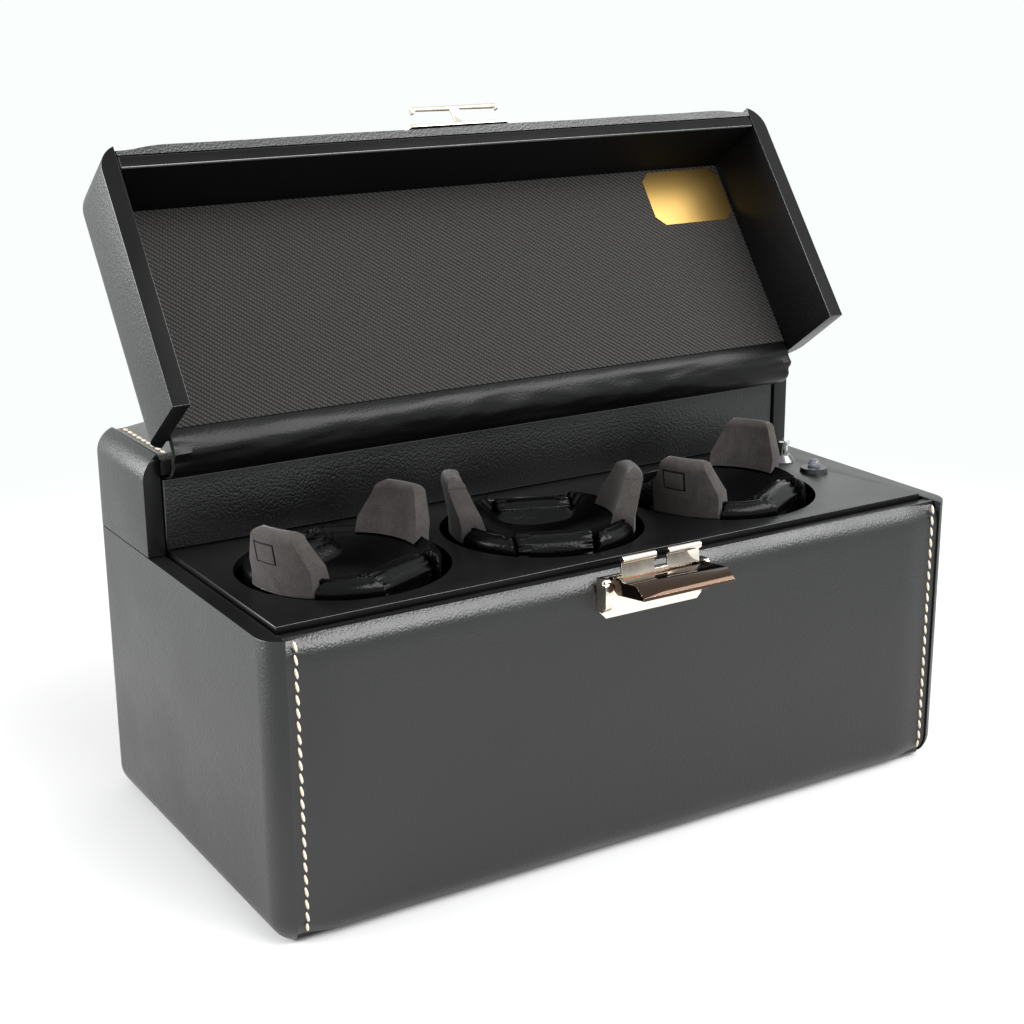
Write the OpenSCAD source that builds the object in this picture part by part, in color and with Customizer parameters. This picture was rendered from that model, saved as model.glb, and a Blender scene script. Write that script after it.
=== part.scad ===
// Three-rotor watch winder in a padded leather case, with the lid standing open.
// +Z is up, the front faces -Y, and the origin is the middle of the underside.

/* [Case] */
// Width over the two side panels
box_w = 290; // [280:1:330]
// Depth from front to back
box_d = 158; // [154:1:180]
// Height with the lid shut
box_h = 146; // [146:1:160]
// Height of the seam between base and lid
seam_h = 108; // [100:1:110]
// Depth of the fixed section behind the lid
rear_d = 56; // [50:1:58]
// Thickness of a side panel
side_t = 6.5; // [5:0.5:8]
// Radius of the outer edges
edge_r = 10; // [9:0.5:13]
// Thickness of the wooden boards
board_t = 5; // [4:0.5:6]
// Thickness of the padding on the front and back
pad_t = 4.5; // [3.5:0.5:6]
// Thickness of the padding on the top
top_pad_t = 3; // [2.5:0.5:4]
// Stitched margin at each end of a padded panel
margin_w = 6; // [5:0.5:8]
// Height of a pad's middle above its stitched margin
crown_h = 1.2; // [0.6:0.2:1.6]
// Gap that shows as a dark line between two panels
seam_gap = 0.4; // [0.2:0.1:0.6]
// Thickness of the bottom board
bottom_t = 5; // [4:0.5:7]

/* [Deck] */
// Height of the deck over the seam
deck_rise = 1.4; // [1:0.1:2]
// Thickness of the deck plate
deck_t = 3.5; // [3:0.5:4.5]
// Gap between the deck and the walls round it
deck_gap = 1.4; // [1:0.1:2]
// Gap round a rotor's cushion in its opening
hole_gap = 3.5; // [3:0.1:4]
// Width of the deck left of the left opening
deck_left_w = 9.5; // [8:0.5:11]
// Width of the deck right of the right opening, for the lamp and the switch
deck_right_w = 27.5; // [26.5:0.5:30]
// Least width of the deck between two openings
deck_web_w = 6; // [5:0.5:10]
// Width of the deck in front of an opening
deck_front_w = 8.5; // [7:0.5:10]
// Least width of the deck behind an opening
deck_rear_w = 8; // [7:0.5:8]
// Diameter of the rim round the lamp and the switch
bezel_d = 11.4; // [10:0.2:12]
// Distance of the lamp and the switch from the deck's right edge
control_in = 12.8; // [12:0.2:13.4]
// Distance between the lamp and the switch
control_gap = 20.5; // [18:0.5:24]

/* [Inlet] */
// Distance of the power inlet from the right end of the case
inlet_in = 45; // [30:5:250]
// Height of the power inlet's axis
inlet_z = 26; // [20:1:40]
// Radius of the power inlet's barrel
inlet_r = 5.4; // [5:0.1:6]

/* [Lid] */
// Angle that the lid stands open
lid_open = 126; // [110:1:128]
// Thickness of the board in the lid's top
lid_board_t = 2.2; // [2:0.1:3]
// Thickness of the twill lining card
lining_t = 0.8; // [0.6:0.1:1]
// Length of the bare label plate
label_w = 40; // [30:1:44]
// Width of the bare label plate
label_d = 25; // [20:1:28]

/* [Hinge] */
// Radius of a hinge knuckle
knuckle_r = 1.7; // [1.6:0.05:1.8]
// Radius of the hinge pin
hinge_pin_r = 0.8; // [0.7:0.05:1]
// Thickness of a hinge leaf
leaf_t = 0.8; // [0.6:0.1:0.9]
// Length of the hinge
hinge_l = 260; // [240:4:264]
// Number of knuckles, an odd number
knuckles = 13; // [9:2:17]
// Thickness of the leather gusset
gusset_t = 1.2; // [1:0.1:1.4]

/* [Rotors] */
// Height of the cushion's rim over the deck
rim_rise = 4.4; // [3:0.2:5]
// Width of a cushion's rim round its dish
rim_w = 5.5; // [5:0.5:8]
// Depth of the dish
dish_depth = 8; // [6:0.5:8.5]
// Length of the bolster at the front and back
bolster_l = 27; // [24:1:29]
// Radius of a bolster
bolster_r = 6.8; // [6:0.1:7.2]
// Distance of a bolster's axis from the cushion's edge
bolster_in = 12.5; // [12:0.5:14]
// Gap between a drum's wall and the edge of its cushion, seen from above
drum_inset = 1; // [0.6:0.1:1.4]
// Height of the rotor drum
drum_h = 28; // [24:1:32]
// Radius of the rotor shaft
shaft_r = 2.5; // [2:0.1:3]

/* [Wings] */
// Width of a wing at its foot
wing_foot_w = 26.7; // [24:0.1:28]
// Width of a wing at its tip
wing_tip_w = 16.8; // [14:0.1:18]
// Height of a wing
wing_h = 16.8; // [15:0.1:18]
// Thickness of a wing where it stands on the rim
wing_foot_t = 7.7; // [7.4:0.1:8.4]
// Thickness of a wing at its tip
wing_tip_t = 5.9; // [5.4:0.1:6.4]
// Lean of a wing's inner face away from the rotor's axis
wing_lean = 15; // [12:1:17]
// How far a wing reaches down outside the rim
wing_drop = 6; // [4:0.5:7]
// Width of the release button
button_w = 9; // [7:0.5:9]
// Height of the release button
button_h = 7.6; // [6:0.2:8]
// Distance of the button from the middle of the wing
button_side = 3.5; // [0:0.5:3.5]
// Inward travel of the sliding wing
wing_travel = 4; // [2:0.5:4]

/* [Drive] */
// Tooth module of the gears
gear_m = 1; // [0.9:0.02:1]
// Teeth on the gear under a rotor
gear_teeth = 48; // [44:1:50]
// Teeth on a motor pinion
pinion_teeth = 12; // [11:1:13]
// Face width of the gears
gear_w = 6; // [5:0.5:7]
// Radius of a motor body
motor_r = 12; // [10:0.5:13]

/* [Latch] */
// Width of the latch housing
latch_w = 45; // [42:1:48]
// Height of the latch housing
latch_h = 15; // [14:0.5:16]
// Opening angle of the lever as it stands
lever_open = 66; // [50:1:68]
// Width of the lever
lever_w = 38.4; // [36:0.2:40]
// Length of the lever from its pin
lever_l = 17.5; // [16.5:0.1:18]
// How far the shut lever stands out from its pin
lever_d = 8.4; // [7.6:0.1:9]
// Height of the panel at the lever's end
lever_panel = 5.3; // [4.5:0.1:6]
// Thickness of the lever's metal
lever_t = 1.2; // [1:0.1:1.4]
// Width of the link
link_w = 33; // [30:0.5:34]
// Width of the slot in the link
slot_w = 5.4; // [5:0.1:6]
// Overhang of the lid's T bar past each end of the link
t_over = 1.4; // [1.2:0.1:1.6]

/* [Hidden] */
$fn = 64;

// Case planes
front_y = -box_d / 2;
back_y = box_d / 2;
side_x = box_w / 2 - side_t;
panel_x = side_x - 0.3;
front_in = front_y + pad_t + board_t;
rear_y = back_y - rear_d;
deck_top = seam_h + deck_rise;
deck_bot = deck_top - deck_t;
deck_x = side_x - deck_gap;
deck_front = front_in + deck_gap;
panel_front = rear_y + 0.7;
panel_t = 3.4;
panel_back = panel_front + panel_t;
deck_back = panel_back + 1;
lid_z = seam_h + seam_gap + 0.2;

// Frame under the deck
frame_t = 5;
frame_h = 8;
frame_top = deck_bot - 0.1;
rail_y = panel_front + 2.8;
back_t = pad_t + board_t / 2;
frame_back = back_y - back_t;

// Hinge line
hinge_gap = 1.4;
axis_y = rear_y - 2.5;
axis_z = box_h + 1.2;
leaf_front = axis_y - hinge_gap / 2 - leaf_t;
leaf_back = axis_y + hinge_gap / 2 + leaf_t;
lid_back = leaf_front + 1.2;
top_board_bot = box_h - top_pad_t - board_t;
top_board_top = box_h - top_pad_t;
lid_board_bot = top_board_top - lid_board_t;
lining_bot = lid_board_bot - lining_t;
lining_back = leaf_front - 3;
panel_top = top_board_bot - 1.9;

// Leather gusset in front of the hinge
gusset_y = leaf_front - 5.6;
gusset_bend = 7;

// Openings in the deck, as large as the box lets three of them be, and their cushions
well_w = 2 * side_x - deck_left_w - deck_right_w;
hole_r = min((well_w - 2 * deck_web_w) / 6, (rear_y - front_in - deck_front_w - deck_rear_w) / 2);
rotor_pitch = well_w / 2 - hole_r;
rotor_x = deck_left_w + hole_r + rotor_pitch - side_x;
rotor_cy = front_in + deck_front_w + hole_r;
cushion_r = hole_r - hole_gap;

// Rotor levels, from the deck down
rim_z = deck_top + rim_rise;
cushion_bot = rim_z - 13.4;
rim_round = 4;
dish_r = cushion_r - rim_w;
dish_drop = 0.6;
notch_floor = rim_z - 10.3;
bolster_soft = 2;
bolster_gap = 1;
bolster_y = cushion_r - bolster_in;
drum_r = cushion_r - drum_inset;
drum_bot = cushion_bot - drum_h;
drum_wall = 1.6;
shelf_t = 2;
hub_h = 3;
gear_top = drum_bot - hub_h;
gear_bot = gear_top - gear_w;
bush_top = gear_bot - 0.3;
bush_h = 12;
bush_bot = bush_top - bush_h;
bush_r = 4;
plate_top = bush_top - 3;
plate_t = 3;
plate_bot = plate_top - plate_t;
motor_h = 24;
gear_c = gear_m * (gear_teeth + pinion_teeth) / 2;
run_gap = 0.05;
pinion_shaft_r = 1.5;
chassis_lip = 8;
leg_r = 5;
leg_in = 6;

// Each rotor's turn as it stands, and its place
rotor_turn = [24, -22, 30];
function rotor_at(i) = [rotor_x + (i - 1) * rotor_pitch, rotor_cy, 0];

// Wings: each stands on the rim, and its skirt hangs outside it in a pocket
wing_gap = 0.3;
wing_z = rim_z + wing_gap;
wing_out = cushion_r + 0.1;
wing_r = wing_out - wing_foot_t;
wing_rise = tan(wing_lean);
wing_corner = 3.5;
shoulder_h = 4;
sole_dip = 1.5;
sole_w = 3.6;
skirt_r = wing_r + wing_travel + 0.5;
skirt_z = wing_z - wing_drop;
skirt_edge = 0.8;
tip_round = wing_tip_t / 2;
tip_mid = wing_r + wing_h * wing_rise + tip_round;
tip_z = wing_z + wing_h - tip_round;
back_lean = atan((tip_mid + tip_round - wing_out) / (tip_z - wing_z));
tongue_w = 12;
tongue_t = 2;
foot_w = 15;
foot_h = 2;
foot_in = 1.6;
tongue_r = sqrt(pow(drum_r - drum_wall - wing_gap, 2) - pow(foot_w / 2, 2)) - tongue_t;
slide_gap = 0.2;
shelf_top = cushion_bot;
button_z = wing_z + wing_h / 2;
button_t = 2.2;
button_press = 1;
button_gap = 0.25;

// Power inlet
inlet_x = box_w / 2 - inlet_in;
inlet_flange_t = 1.4;
inlet_nut_t = 2.5;
inlet_tail = 9;
socket_r = 2.9;
contact_r = 1;

// Controls
control_x = deck_x - control_in;
lamp_y = rotor_cy + 2.5;
switch_y = lamp_y + control_gap;
barrel_r = 3.9;
lens_r = 2.5;
plunger_r = 2.5;
cap_r = 3.3;
switch_w = 11;
board_z = deck_bot - 14;
board_w = 20;
pcb_t = 1.6;
chip_w = 12;

// Latch, with u measured outward from the face of the front pad
pin_u = 4.2;
pin_z = seam_h - 1.5;
lever_pin_r = 0.9;
link_r = 2.4;
link_pin_r = 0.6;
barrel_link_r = 1.1;
link_rest = -5;
link_t = 0.9;
link_l = 9;
roll_r = 1.3;
slot_l = 6.6;
housing_t = 1.6;
ear_t = (latch_w - lever_w) / 2 - 0.3;
hook_u = 7.2;
hook_t = 1.2;
t_bar_w = link_w + 2 * t_over + 2 * hook_t;
hook_bar_z = seam_h + 0.8;
hook_bar_h = 2.2;
catch_t = 1.2;
catch_z = hook_bar_z + 0.2;
catch_h = 10;
neck_w = slot_w - 1.4;
neck_t = 1.4;

// Outline of the whole shut case seen from the side
module case_outline(w) {
  rotate([90, 0, 90]) linear_extrude(w, center = true) {
    translate([front_y, edge_r]) square([box_d, box_h - 2 * edge_r]);
    translate([front_y + edge_r, 0]) square([box_d - 2 * edge_r, box_h]);
    for (y = [front_y + edge_r, back_y - edge_r], z = [edge_r, box_h - edge_r])
      translate([y, z]) circle(edge_r);
  }
}

// One whole side of the shut case: a plate whose outer edges and corners are rounded
module side_slab(s) {
  intersection() {
    union() {
      case_outline(2 * (box_w / 2 - edge_r));
      for (y = [front_y + edge_r, back_y - edge_r]) {
        translate([s * (box_w / 2 - edge_r), y, edge_r]) cylinder(r = edge_r, h = box_h - 2 * edge_r);
        for (z = [edge_r, box_h - edge_r])
          translate([s * (box_w / 2 - edge_r), y, z]) sphere(edge_r);
      }
      for (z = [edge_r, box_h - edge_r])
        translate([s * (box_w / 2 - edge_r), front_y + edge_r, z])
          rotate([-90, 0, 0]) cylinder(r = edge_r, h = box_d - 2 * edge_r);
      translate([-box_w / 2, front_y + edge_r, edge_r])
        cube([box_w, box_d - 2 * edge_r, box_h - 2 * edge_r]);
    }
    translate([s > 0 ? side_x : -box_w / 2 - 1, front_y - 1, -1])
      cube([side_t + 1, box_d + 2, box_h + 2]);
  }
}

// A padded panel cut to the case outline: flat stitched margins and a raised middle.
// It spans y0 to y1 and z0 to z1, and up is the axis that it faces along
module padded_panel(y0, y1, z0, z1, face) {
  t = face == "top" ? z1 - z0 : y1 - y0;
  drop = face == "top" ? [0, 0, -crown_h] : [0, face == "front" ? crown_h : -crown_h, 0];
  intersection() {
    case_outline(2 * panel_x);
    union() {
      intersection() {
        translate([-panel_x, y0, z0]) cube([2 * panel_x, y1 - y0, z1 - z0]);
        translate(drop) translate([-panel_x, y0, z0]) cube([2 * panel_x, y1 - y0, z1 - z0]);
      }
      translate([-panel_x + margin_w, y0, z0])
        cube([2 * (panel_x - margin_w), y1 - y0, z1 - z0]);
    }
  }
}

module base_side_left() {
  color("#1c1c1e") side_part(-1, -1, seam_h, front_y - 1, back_y + 1);
}

module base_side_right() {
  color("#1c1c1e") side_part(1, -1, seam_h, front_y - 1, back_y + 1);
}

// The stretch of one side from z0 to z1 and y0 to y1
module side_part(s, z0, z1, y0, y1) {
  intersection() {
    side_slab(s);
    translate([-box_w, y0, z0]) cube([2 * box_w, y1 - y0, z1 - z0]);
  }
}

module base_front_board() {
  color("#202022") intersection() {
    case_outline(2 * panel_x);
    translate([-panel_x, front_y + pad_t, 0]) cube([2 * panel_x, board_t, seam_h - 0.6]);
  }
}

module base_front_pad() {
  color("#1a1a1c") padded_panel(front_y, front_y + pad_t, 0, seam_h - 0.4, "front");
}

module base_back_panel() {
  color("#1a1a1c") difference() {
    padded_panel(back_y - back_t, back_y, 0, seam_h, "back");
    translate([inlet_x, 0, inlet_z]) rotate([-90, 0, 0]) cylinder(r = inlet_r + 0.1, h = box_d);
    translate([inlet_x, back_y - inlet_flange_t, inlet_z]) rotate([-90, 0, 0])
      cylinder(r = inlet_r + 2.2, h = box_d);
  }
}

module base_bottom() {
  color("#26262a") translate([-panel_x, front_y + pad_t + board_t, 0])
    cube([2 * panel_x, frame_back - front_in, bottom_t]);
}

// Wooden ring under the deck, with a rail that carries the rear panel
module deck_frame() {
  color("#8a6a44") translate([0, 0, frame_top - frame_h]) linear_extrude(frame_h) difference() {
    translate([-panel_x, front_in]) square([2 * panel_x, frame_back - front_in]);
    translate([-panel_x + frame_t, front_in + frame_t])
      square([2 * (panel_x - frame_t), rail_y - front_in - frame_t]);
    translate([-panel_x + frame_t, rail_y + frame_t])
      square([2 * (panel_x - frame_t), frame_back - rail_y - 2 * frame_t]);
  }
}

module deck_plate() {
  color("#2a2a2c") difference() {
    union() {
      translate([-deck_x, deck_front, deck_bot])
        cube([2 * deck_x, deck_back - deck_front, deck_t]);
      for (y = [lamp_y - 13, switch_y + 12])
        translate([control_x, y, board_z + pcb_t]) cylinder(r = 2.5, h = deck_bot - board_z - 1);
    }
    for (i = [0:2]) translate(rotor_at(i)) translate([0, 0, deck_bot - 1])
      cylinder(r = hole_r, h = deck_t + 2, $fn = 96);
    for (y = [lamp_y, switch_y]) translate([control_x, y, deck_bot - 1])
      cylinder(r = barrel_r + 0.1, h = deck_t + 2);
  }
}

module rear_cheek(s) {
  difference() {
    side_part(s, seam_h + seam_gap, box_h + 1, rear_y, back_y + 1);
    // rounded corner where the lid folds against it
    translate([0, rear_y, box_h]) rotate([0, 90, 0]) difference() {
      translate([-1, -1, -box_w]) cube([5, 5, 2 * box_w]);
      translate([4, 4, -box_w - 1]) cylinder(r = 4, h = 2 * box_w + 2);
    }
  }
}

module rear_cheek_left() {
  color("#1c1c1e") rear_cheek(-1);
}

module rear_cheek_right() {
  color("#1c1c1e") rear_cheek(1);
}

module rear_front_panel() {
  color("#2b2b2e") translate([-panel_x + 0.4, panel_front, deck_top])
    cube([2 * (panel_x - 0.4), panel_t, panel_top - deck_top]);
}

module rear_top_board() {
  color("#8a6a44") translate([-panel_x, leaf_back, top_board_bot])
    cube([2 * panel_x, frame_back - leaf_back, board_t]);
}

module rear_top_pad() {
  color("#1a1a1c") padded_panel(leaf_back + 0.2, back_y, top_board_top, box_h, "top");
}

module rear_back_panel() {
  color("#1a1a1c")
    padded_panel(back_y - back_t, back_y, seam_h + seam_gap, top_board_top, "back");
}

// Plate with legs and bearing bosses that carries the motors and rotors
module motor_chassis() {
  x0 = rotor_at(0)[0] - gear_m * gear_teeth / 2 - 1.5 * chassis_lip;
  x1 = rotor_at(2)[0] + gear_m * gear_teeth / 2 + 1.5 * chassis_lip;
  y0 = rotor_cy - gear_m * gear_teeth / 2 - chassis_lip / 2;
  y1 = rotor_cy + gear_c + motor_r + chassis_lip;
  color("#5c6066") difference() {
    union() {
      translate([x0, y0, plate_bot]) cube([x1 - x0, y1 - y0, plate_t]);
      for (x = [x0 + leg_in, x1 - leg_in], y = [y0 + leg_in, y1 - leg_in])
        translate([x, y, bottom_t]) cylinder(r = leg_r, h = plate_bot - bottom_t + 1);
      for (i = [0:2]) translate(rotor_at(i)) translate([0, 0, bush_bot + 1])
        cylinder(r = bush_r + 3, h = bush_h - 2);
    }
    for (i = [0:2]) translate(rotor_at(i)) {
      translate([0, 0, bush_bot]) cylinder(r = shaft_r + run_gap, h = bush_h + 2);
      translate([0, gear_c, plate_bot - 1]) cylinder(r = 5, h = plate_t + 2);
    }
  }
}

module gear_motors() {
  color("#b9bcc0") for (i = [0:2]) translate(rotor_at(i)) translate([0, gear_c, 0]) difference() {
    union() {
      translate([0, 0, plate_bot - motor_h]) cylinder(r = motor_r, h = motor_h);
      translate([0, 0, plate_bot - motor_h - 3]) cylinder(r = motor_r - 4, h = 4);
      translate([0, 0, plate_bot - 0.5]) cylinder(r = 4.6, h = plate_t);
    }
    translate([0, 0, plate_bot - 10]) cylinder(r = pinion_shaft_r + run_gap, h = 20);
  }
}

// Barrel socket in the back, clamped by a nut on the inside
module power_inlet() {
  inner_y = back_y - back_t - inlet_nut_t;
  color("#17171a") translate([inlet_x, 0, inlet_z]) difference() {
    union() {
      translate([0, back_y - inlet_flange_t, 0]) rotate([-90, 0, 0])
        cylinder(r = inlet_r + 2, h = inlet_flange_t);
      translate([0, inner_y - inlet_tail, 0]) rotate([-90, 0, 0])
        cylinder(r = inlet_r, h = back_y - inner_y + inlet_tail);
      translate([0, inner_y, 0]) rotate([-90, 0, 0])
        cylinder(r = inlet_r + 2.6, h = inlet_nut_t, $fn = 6);
    }
    translate([0, inner_y - inlet_tail + 3, 0]) rotate([-90, 0, 0])
      difference() {
        cylinder(r = socket_r, h = rear_d);
        cylinder(r = contact_r, h = back_y - inner_y + inlet_tail - 5);
      }
  }
}

module circuit_board() {
  y0 = lamp_y - board_w;
  color("#1f5c3a") translate([control_x - board_w / 2, y0, board_z])
    cube([board_w, control_gap + 1.9 * board_w, pcb_t]);
  color("#33363b") {
    translate([control_x - chip_w / 2, lamp_y + 4, board_z + pcb_t]) cube([chip_w, 8, 3]);
    translate([control_x - chip_w / 2 + 1, y0 + 1, board_z + pcb_t]) cube([chip_w - 2, 3, 2]);
  }
}

module lamp_holder() {
  color("#141416") translate([control_x, lamp_y, 0]) difference() {
    union() {
      translate([0, 0, deck_top]) cylinder(d1 = bezel_d, d2 = bezel_d - 1, h = 1.6);
      translate([0, 0, deck_top - 9]) cylinder(r = barrel_r, h = 9.5);
    }
    translate([0, 0, deck_top - 10]) cylinder(r = lens_r, h = 14);
  }
}

module lamp_lens() {
  color("#dfe8f2") translate([control_x, lamp_y, 0]) {
    translate([0, 0, deck_top - 7]) cylinder(r = lens_r, h = 9.6);
    translate([0, 0, deck_top + 2.6]) sphere(lens_r);
  }
}

// Threaded barrel under a conical collar, with the switch's box below
module switch_body() {
  color("#c9c9cb") translate([control_x, switch_y, 0]) difference() {
    union() {
      translate([0, 0, deck_top]) cylinder(d1 = bezel_d, d2 = 7, h = 2.5);
      translate([0, 0, deck_bot - 8]) cylinder(r = barrel_r, h = 12);
      translate([-switch_w / 2, -switch_w / 2, board_z + pcb_t])
        cube([switch_w, switch_w, deck_bot - board_z - 8]);
    }
    translate([0, 0, deck_bot - 6]) cylinder(r = plunger_r + run_gap, h = 20);
  }
}

module switch_button() {
  color("#e8e8ea") translate([control_x, switch_y, 0]) {
    translate([0, 0, deck_bot - 2]) cylinder(r = plunger_r, h = deck_t + 9);
    translate([0, 0, deck_top + 6.8]) cylinder(r = cap_r, h = 1.4);
    translate([0, 0, deck_top + 8.2]) cylinder(r1 = cap_r, r2 = cap_r - 0.7, h = 0.5);
  }
}

// ---- Rotors ----

module rotor_drum(i) {
  color("#232326") translate(rotor_at(i)) rotate([0, 0, rotor_turn[i]]) difference() {
    union() {
      translate([0, 0, drum_bot]) cylinder(r = drum_r, h = drum_h, $fn = 96);
      translate([0, 0, gear_top]) cylinder(r = 7, h = hub_h + 1);
      translate([0, 0, bush_bot - 2]) cylinder(r = shaft_r, h = drum_bot - bush_bot + 3);
      translate([0, 0, bush_bot - 1.4]) cylinder(r = shaft_r + 2, h = 0.9);
    }
    translate([0, 0, drum_bot + drum_wall])
      cylinder(r = drum_r - drum_wall, h = drum_h - drum_wall - shelf_t, $fn = 96);
    for (s = [-1, 1]) tongue_slot(s, shelf_top - shelf_t - 1, shelf_t + 2);
  }
}

// Slot for a wing's tongue: the sliding wing's side is longer by its travel
module tongue_slot(s, z, h) {
  run = s < 0 ? wing_travel : 0;
  translate([s * (tongue_r + (tongue_t - run) / 2), 0, z + h / 2])
    cube([tongue_t + run + 2 * slide_gap, tongue_w + 2 * slide_gap, h], center = true);
}

// Pocket in the rim for a wing's skirt, with room for the sliding wing's travel
module skirt_pocket(s) {
  run = s < 0 ? wing_travel : 0;
  side = wing_foot_w + 2 * wing_gap;
  rotate([0, 0, s < 0 ? 180 : 0]) difference() {
    translate([0, -side / 2, skirt_z - wing_gap]) cube([2 * cushion_r, side, 2 * wing_drop]);
    translate([-run, 0, cushion_bot]) cylinder(r = skirt_r - wing_gap, h = 2 * wing_h, $fn = 96);
  }
}

// Upholstered ring with a dish, notched front and back for a bolster
module rotor_cushion(i) {
  dish_ball = (dish_r * dish_r + dish_depth * dish_depth) / (2 * dish_depth);
  notch_w = bolster_l + 2 * bolster_gap;
  color("#161618") translate(rotor_at(i)) rotate([0, 0, rotor_turn[i]]) {
    difference() {
      rotate_extrude($fn = 96) {
        translate([0, cushion_bot]) square([cushion_r - rim_round, rim_z - cushion_bot]);
        translate([0, cushion_bot + 1]) square([cushion_r, rim_z - rim_round - cushion_bot - 1]);
        translate([cushion_r - rim_round, rim_z - rim_round]) circle(rim_round);
      }
      translate([0, 0, rim_z - dish_drop - dish_depth + dish_ball]) sphere(dish_ball, $fn = 96);
      for (turn = [0, 180]) rotate([0, 0, turn])
        translate([-notch_w / 2, bolster_y - bolster_r - bolster_gap, notch_floor])
          cube([notch_w, cushion_r, 20]);
      for (s = [-1, 1]) {
        tongue_slot(s, cushion_bot - 1, 20);
        skirt_pocket(s);
      }
    }
    for (s = [-1, 1]) bolster(s * bolster_y);
  }
}

// A leather roll lying in its notch, as high as the rim
module bolster(y) {
  intersection() {
    translate([0, y, rim_z - bolster_r]) rotate([0, 90, 0]) union() {
      cylinder(r = bolster_r, h = bolster_l - 2 * bolster_soft, center = true);
      cylinder(r = bolster_r - bolster_soft, h = bolster_l, center = true);
      for (s = [-1, 1]) translate([0, 0, s * (bolster_l / 2 - bolster_soft)])
        rotate_extrude() translate([bolster_r - bolster_soft, 0]) circle(bolster_soft);
    }
    translate([-bolster_l, y - 2 * bolster_r, notch_floor])
      cube([2 * bolster_l, 4 * bolster_r, 4 * bolster_r]);
  }
}

// Wing standing at +X: a curved wedge whose inner face leans outward, with a skirt outside
// the rim and a tongue that snaps into the drum
module wing_body() {
  top = wing_z + wing_h;
  union() {
    intersection() {
      rotate([0, 0, -45]) rotate_extrude(angle = 90, $fn = 96) {
        polygon([[wing_r - sole_dip * wing_rise, wing_z - sole_dip], [wing_r + sole_w, wing_z],
                 [skirt_r, wing_z], [skirt_r, skirt_z], [wing_out - skirt_edge, skirt_z],
                 [wing_out, skirt_z + skirt_edge], [wing_out, wing_z],
                 [tip_mid + tip_round - 0.1, tip_z], [tip_mid - tip_round - 0.6, tip_z]]);
        translate([tip_mid - 0.35, tip_z]) circle(tip_round + 0.25);
      }
      rotate([90, 0, 90]) linear_extrude(2 * cushion_r) {
        polygon([[-wing_foot_w / 2, skirt_z - 1], [wing_foot_w / 2, skirt_z - 1],
                 [wing_foot_w / 2, wing_z + shoulder_h], [wing_tip_w / 2 + 1.1, top - wing_corner],
                 [wing_tip_w / 2 - wing_corner + 0.6, top + 1],
                 [-wing_tip_w / 2 + wing_corner - 0.6, top + 1],
                 [-wing_tip_w / 2 - 1.1, top - wing_corner], [-wing_foot_w / 2, wing_z + shoulder_h]]);
        for (s = [-1, 1]) translate([s * (wing_tip_w / 2 - wing_corner + 1), top - wing_corner])
          circle(wing_corner);
      }
    }
    translate([tongue_r, -tongue_w / 2, shelf_top - shelf_t - foot_h - slide_gap])
      cube([tongue_t, tongue_w, wing_z + 1 - shelf_top + shelf_t + foot_h + slide_gap]);
    translate([tongue_r - foot_in, -foot_w / 2, shelf_top - shelf_t - foot_h - slide_gap])
      cube([tongue_t + foot_in, foot_w, foot_h]);
  }
}

// Block that reaches in from the wing's outer face, along its normal
module button_block(gap, depth) {
  r = wing_out + (button_z - wing_z) * tan(back_lean) - 0.6;
  translate([r, -button_side, button_z]) rotate([0, back_lean, 0])
    translate([-depth, -button_w / 2 - gap, -button_h / 2 - gap])
      cube([depth + 4, button_w + 2 * gap, button_h + 2 * gap]);
}

module fixed_wing(i) {
  color("#3b3a3c") translate(rotor_at(i)) rotate([0, 0, rotor_turn[i]]) wing_body();
}

module sliding_wing(i) {
  color("#3b3a3c") translate(rotor_at(i)) rotate([0, 0, rotor_turn[i] + 180]) difference() {
    wing_body();
    button_block(button_gap, button_t + button_press + 0.2);
  }
}

module wing_button(i) {
  color("#454447") translate(rotor_at(i)) rotate([0, 0, rotor_turn[i] + 180]) intersection() {
    wing_body();
    button_block(0, button_t);
  }
}

// Spur gear with straight-sided teeth, a little thinner than the gaps
module spur_gear(teeth, w, bore) {
  r = gear_m * teeth / 2;
  a = 360 / teeth;
  root = r - 1.25 * gear_m;
  difference() {
    linear_extrude(w) union() {
      circle(root + 0.05, $fn = 96);
      for (k = [0:teeth - 1]) rotate(k * a)
        polygon([[root - 0.4, -gear_m * 0.92], [r, -gear_m * 0.68], [r + 0.85 * gear_m, -gear_m * 0.3],
                 [r + 0.85 * gear_m, gear_m * 0.3], [r, gear_m * 0.68], [root - 0.4, gear_m * 0.92]]);
    }
    translate([0, 0, -1]) cylinder(r = bore, h = w + 2);
  }
}

module drive_gear(i) {
  color("#d8cfb8") translate(rotor_at(i)) translate([0, 0, gear_bot])
    spur_gear(gear_teeth, gear_w, shaft_r);
}

// The pinion's teeth stand half a pitch round, so that they fall in the gear's gaps
module motor_pinion(i) {
  phase = 90 / (360 / gear_teeth);
  mesh = (phase - floor(phase)) * 360 / pinion_teeth;
  color("#c7a35a") translate(rotor_at(i)) translate([0, gear_c, 0]) {
    translate([0, 0, gear_bot]) rotate([0, 0, -90 + 180 / pinion_teeth + mesh])
      spur_gear(pinion_teeth, gear_w, pinion_shaft_r);
    translate([0, 0, plate_bot - 8]) cylinder(r = pinion_shaft_r, h = gear_top - plate_bot + 9);
  }
}

// ---- Hinge ----

// Lid pieces are drawn shut and swung open about the hinge pin
module swung() {
  translate([0, axis_y, axis_z]) rotate([-lid_open, 0, 0]) translate([0, -axis_y, -axis_z])
    children();
}

module knuckle_run(first) {
  l = hinge_l / knuckles;
  for (k = [first:2:knuckles - 1])
    translate([-hinge_l / 2 + k * l + 0.15, axis_y, axis_z]) rotate([0, 90, 0])
      cylinder(r = knuckle_r, h = l - 0.3);
}

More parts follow.
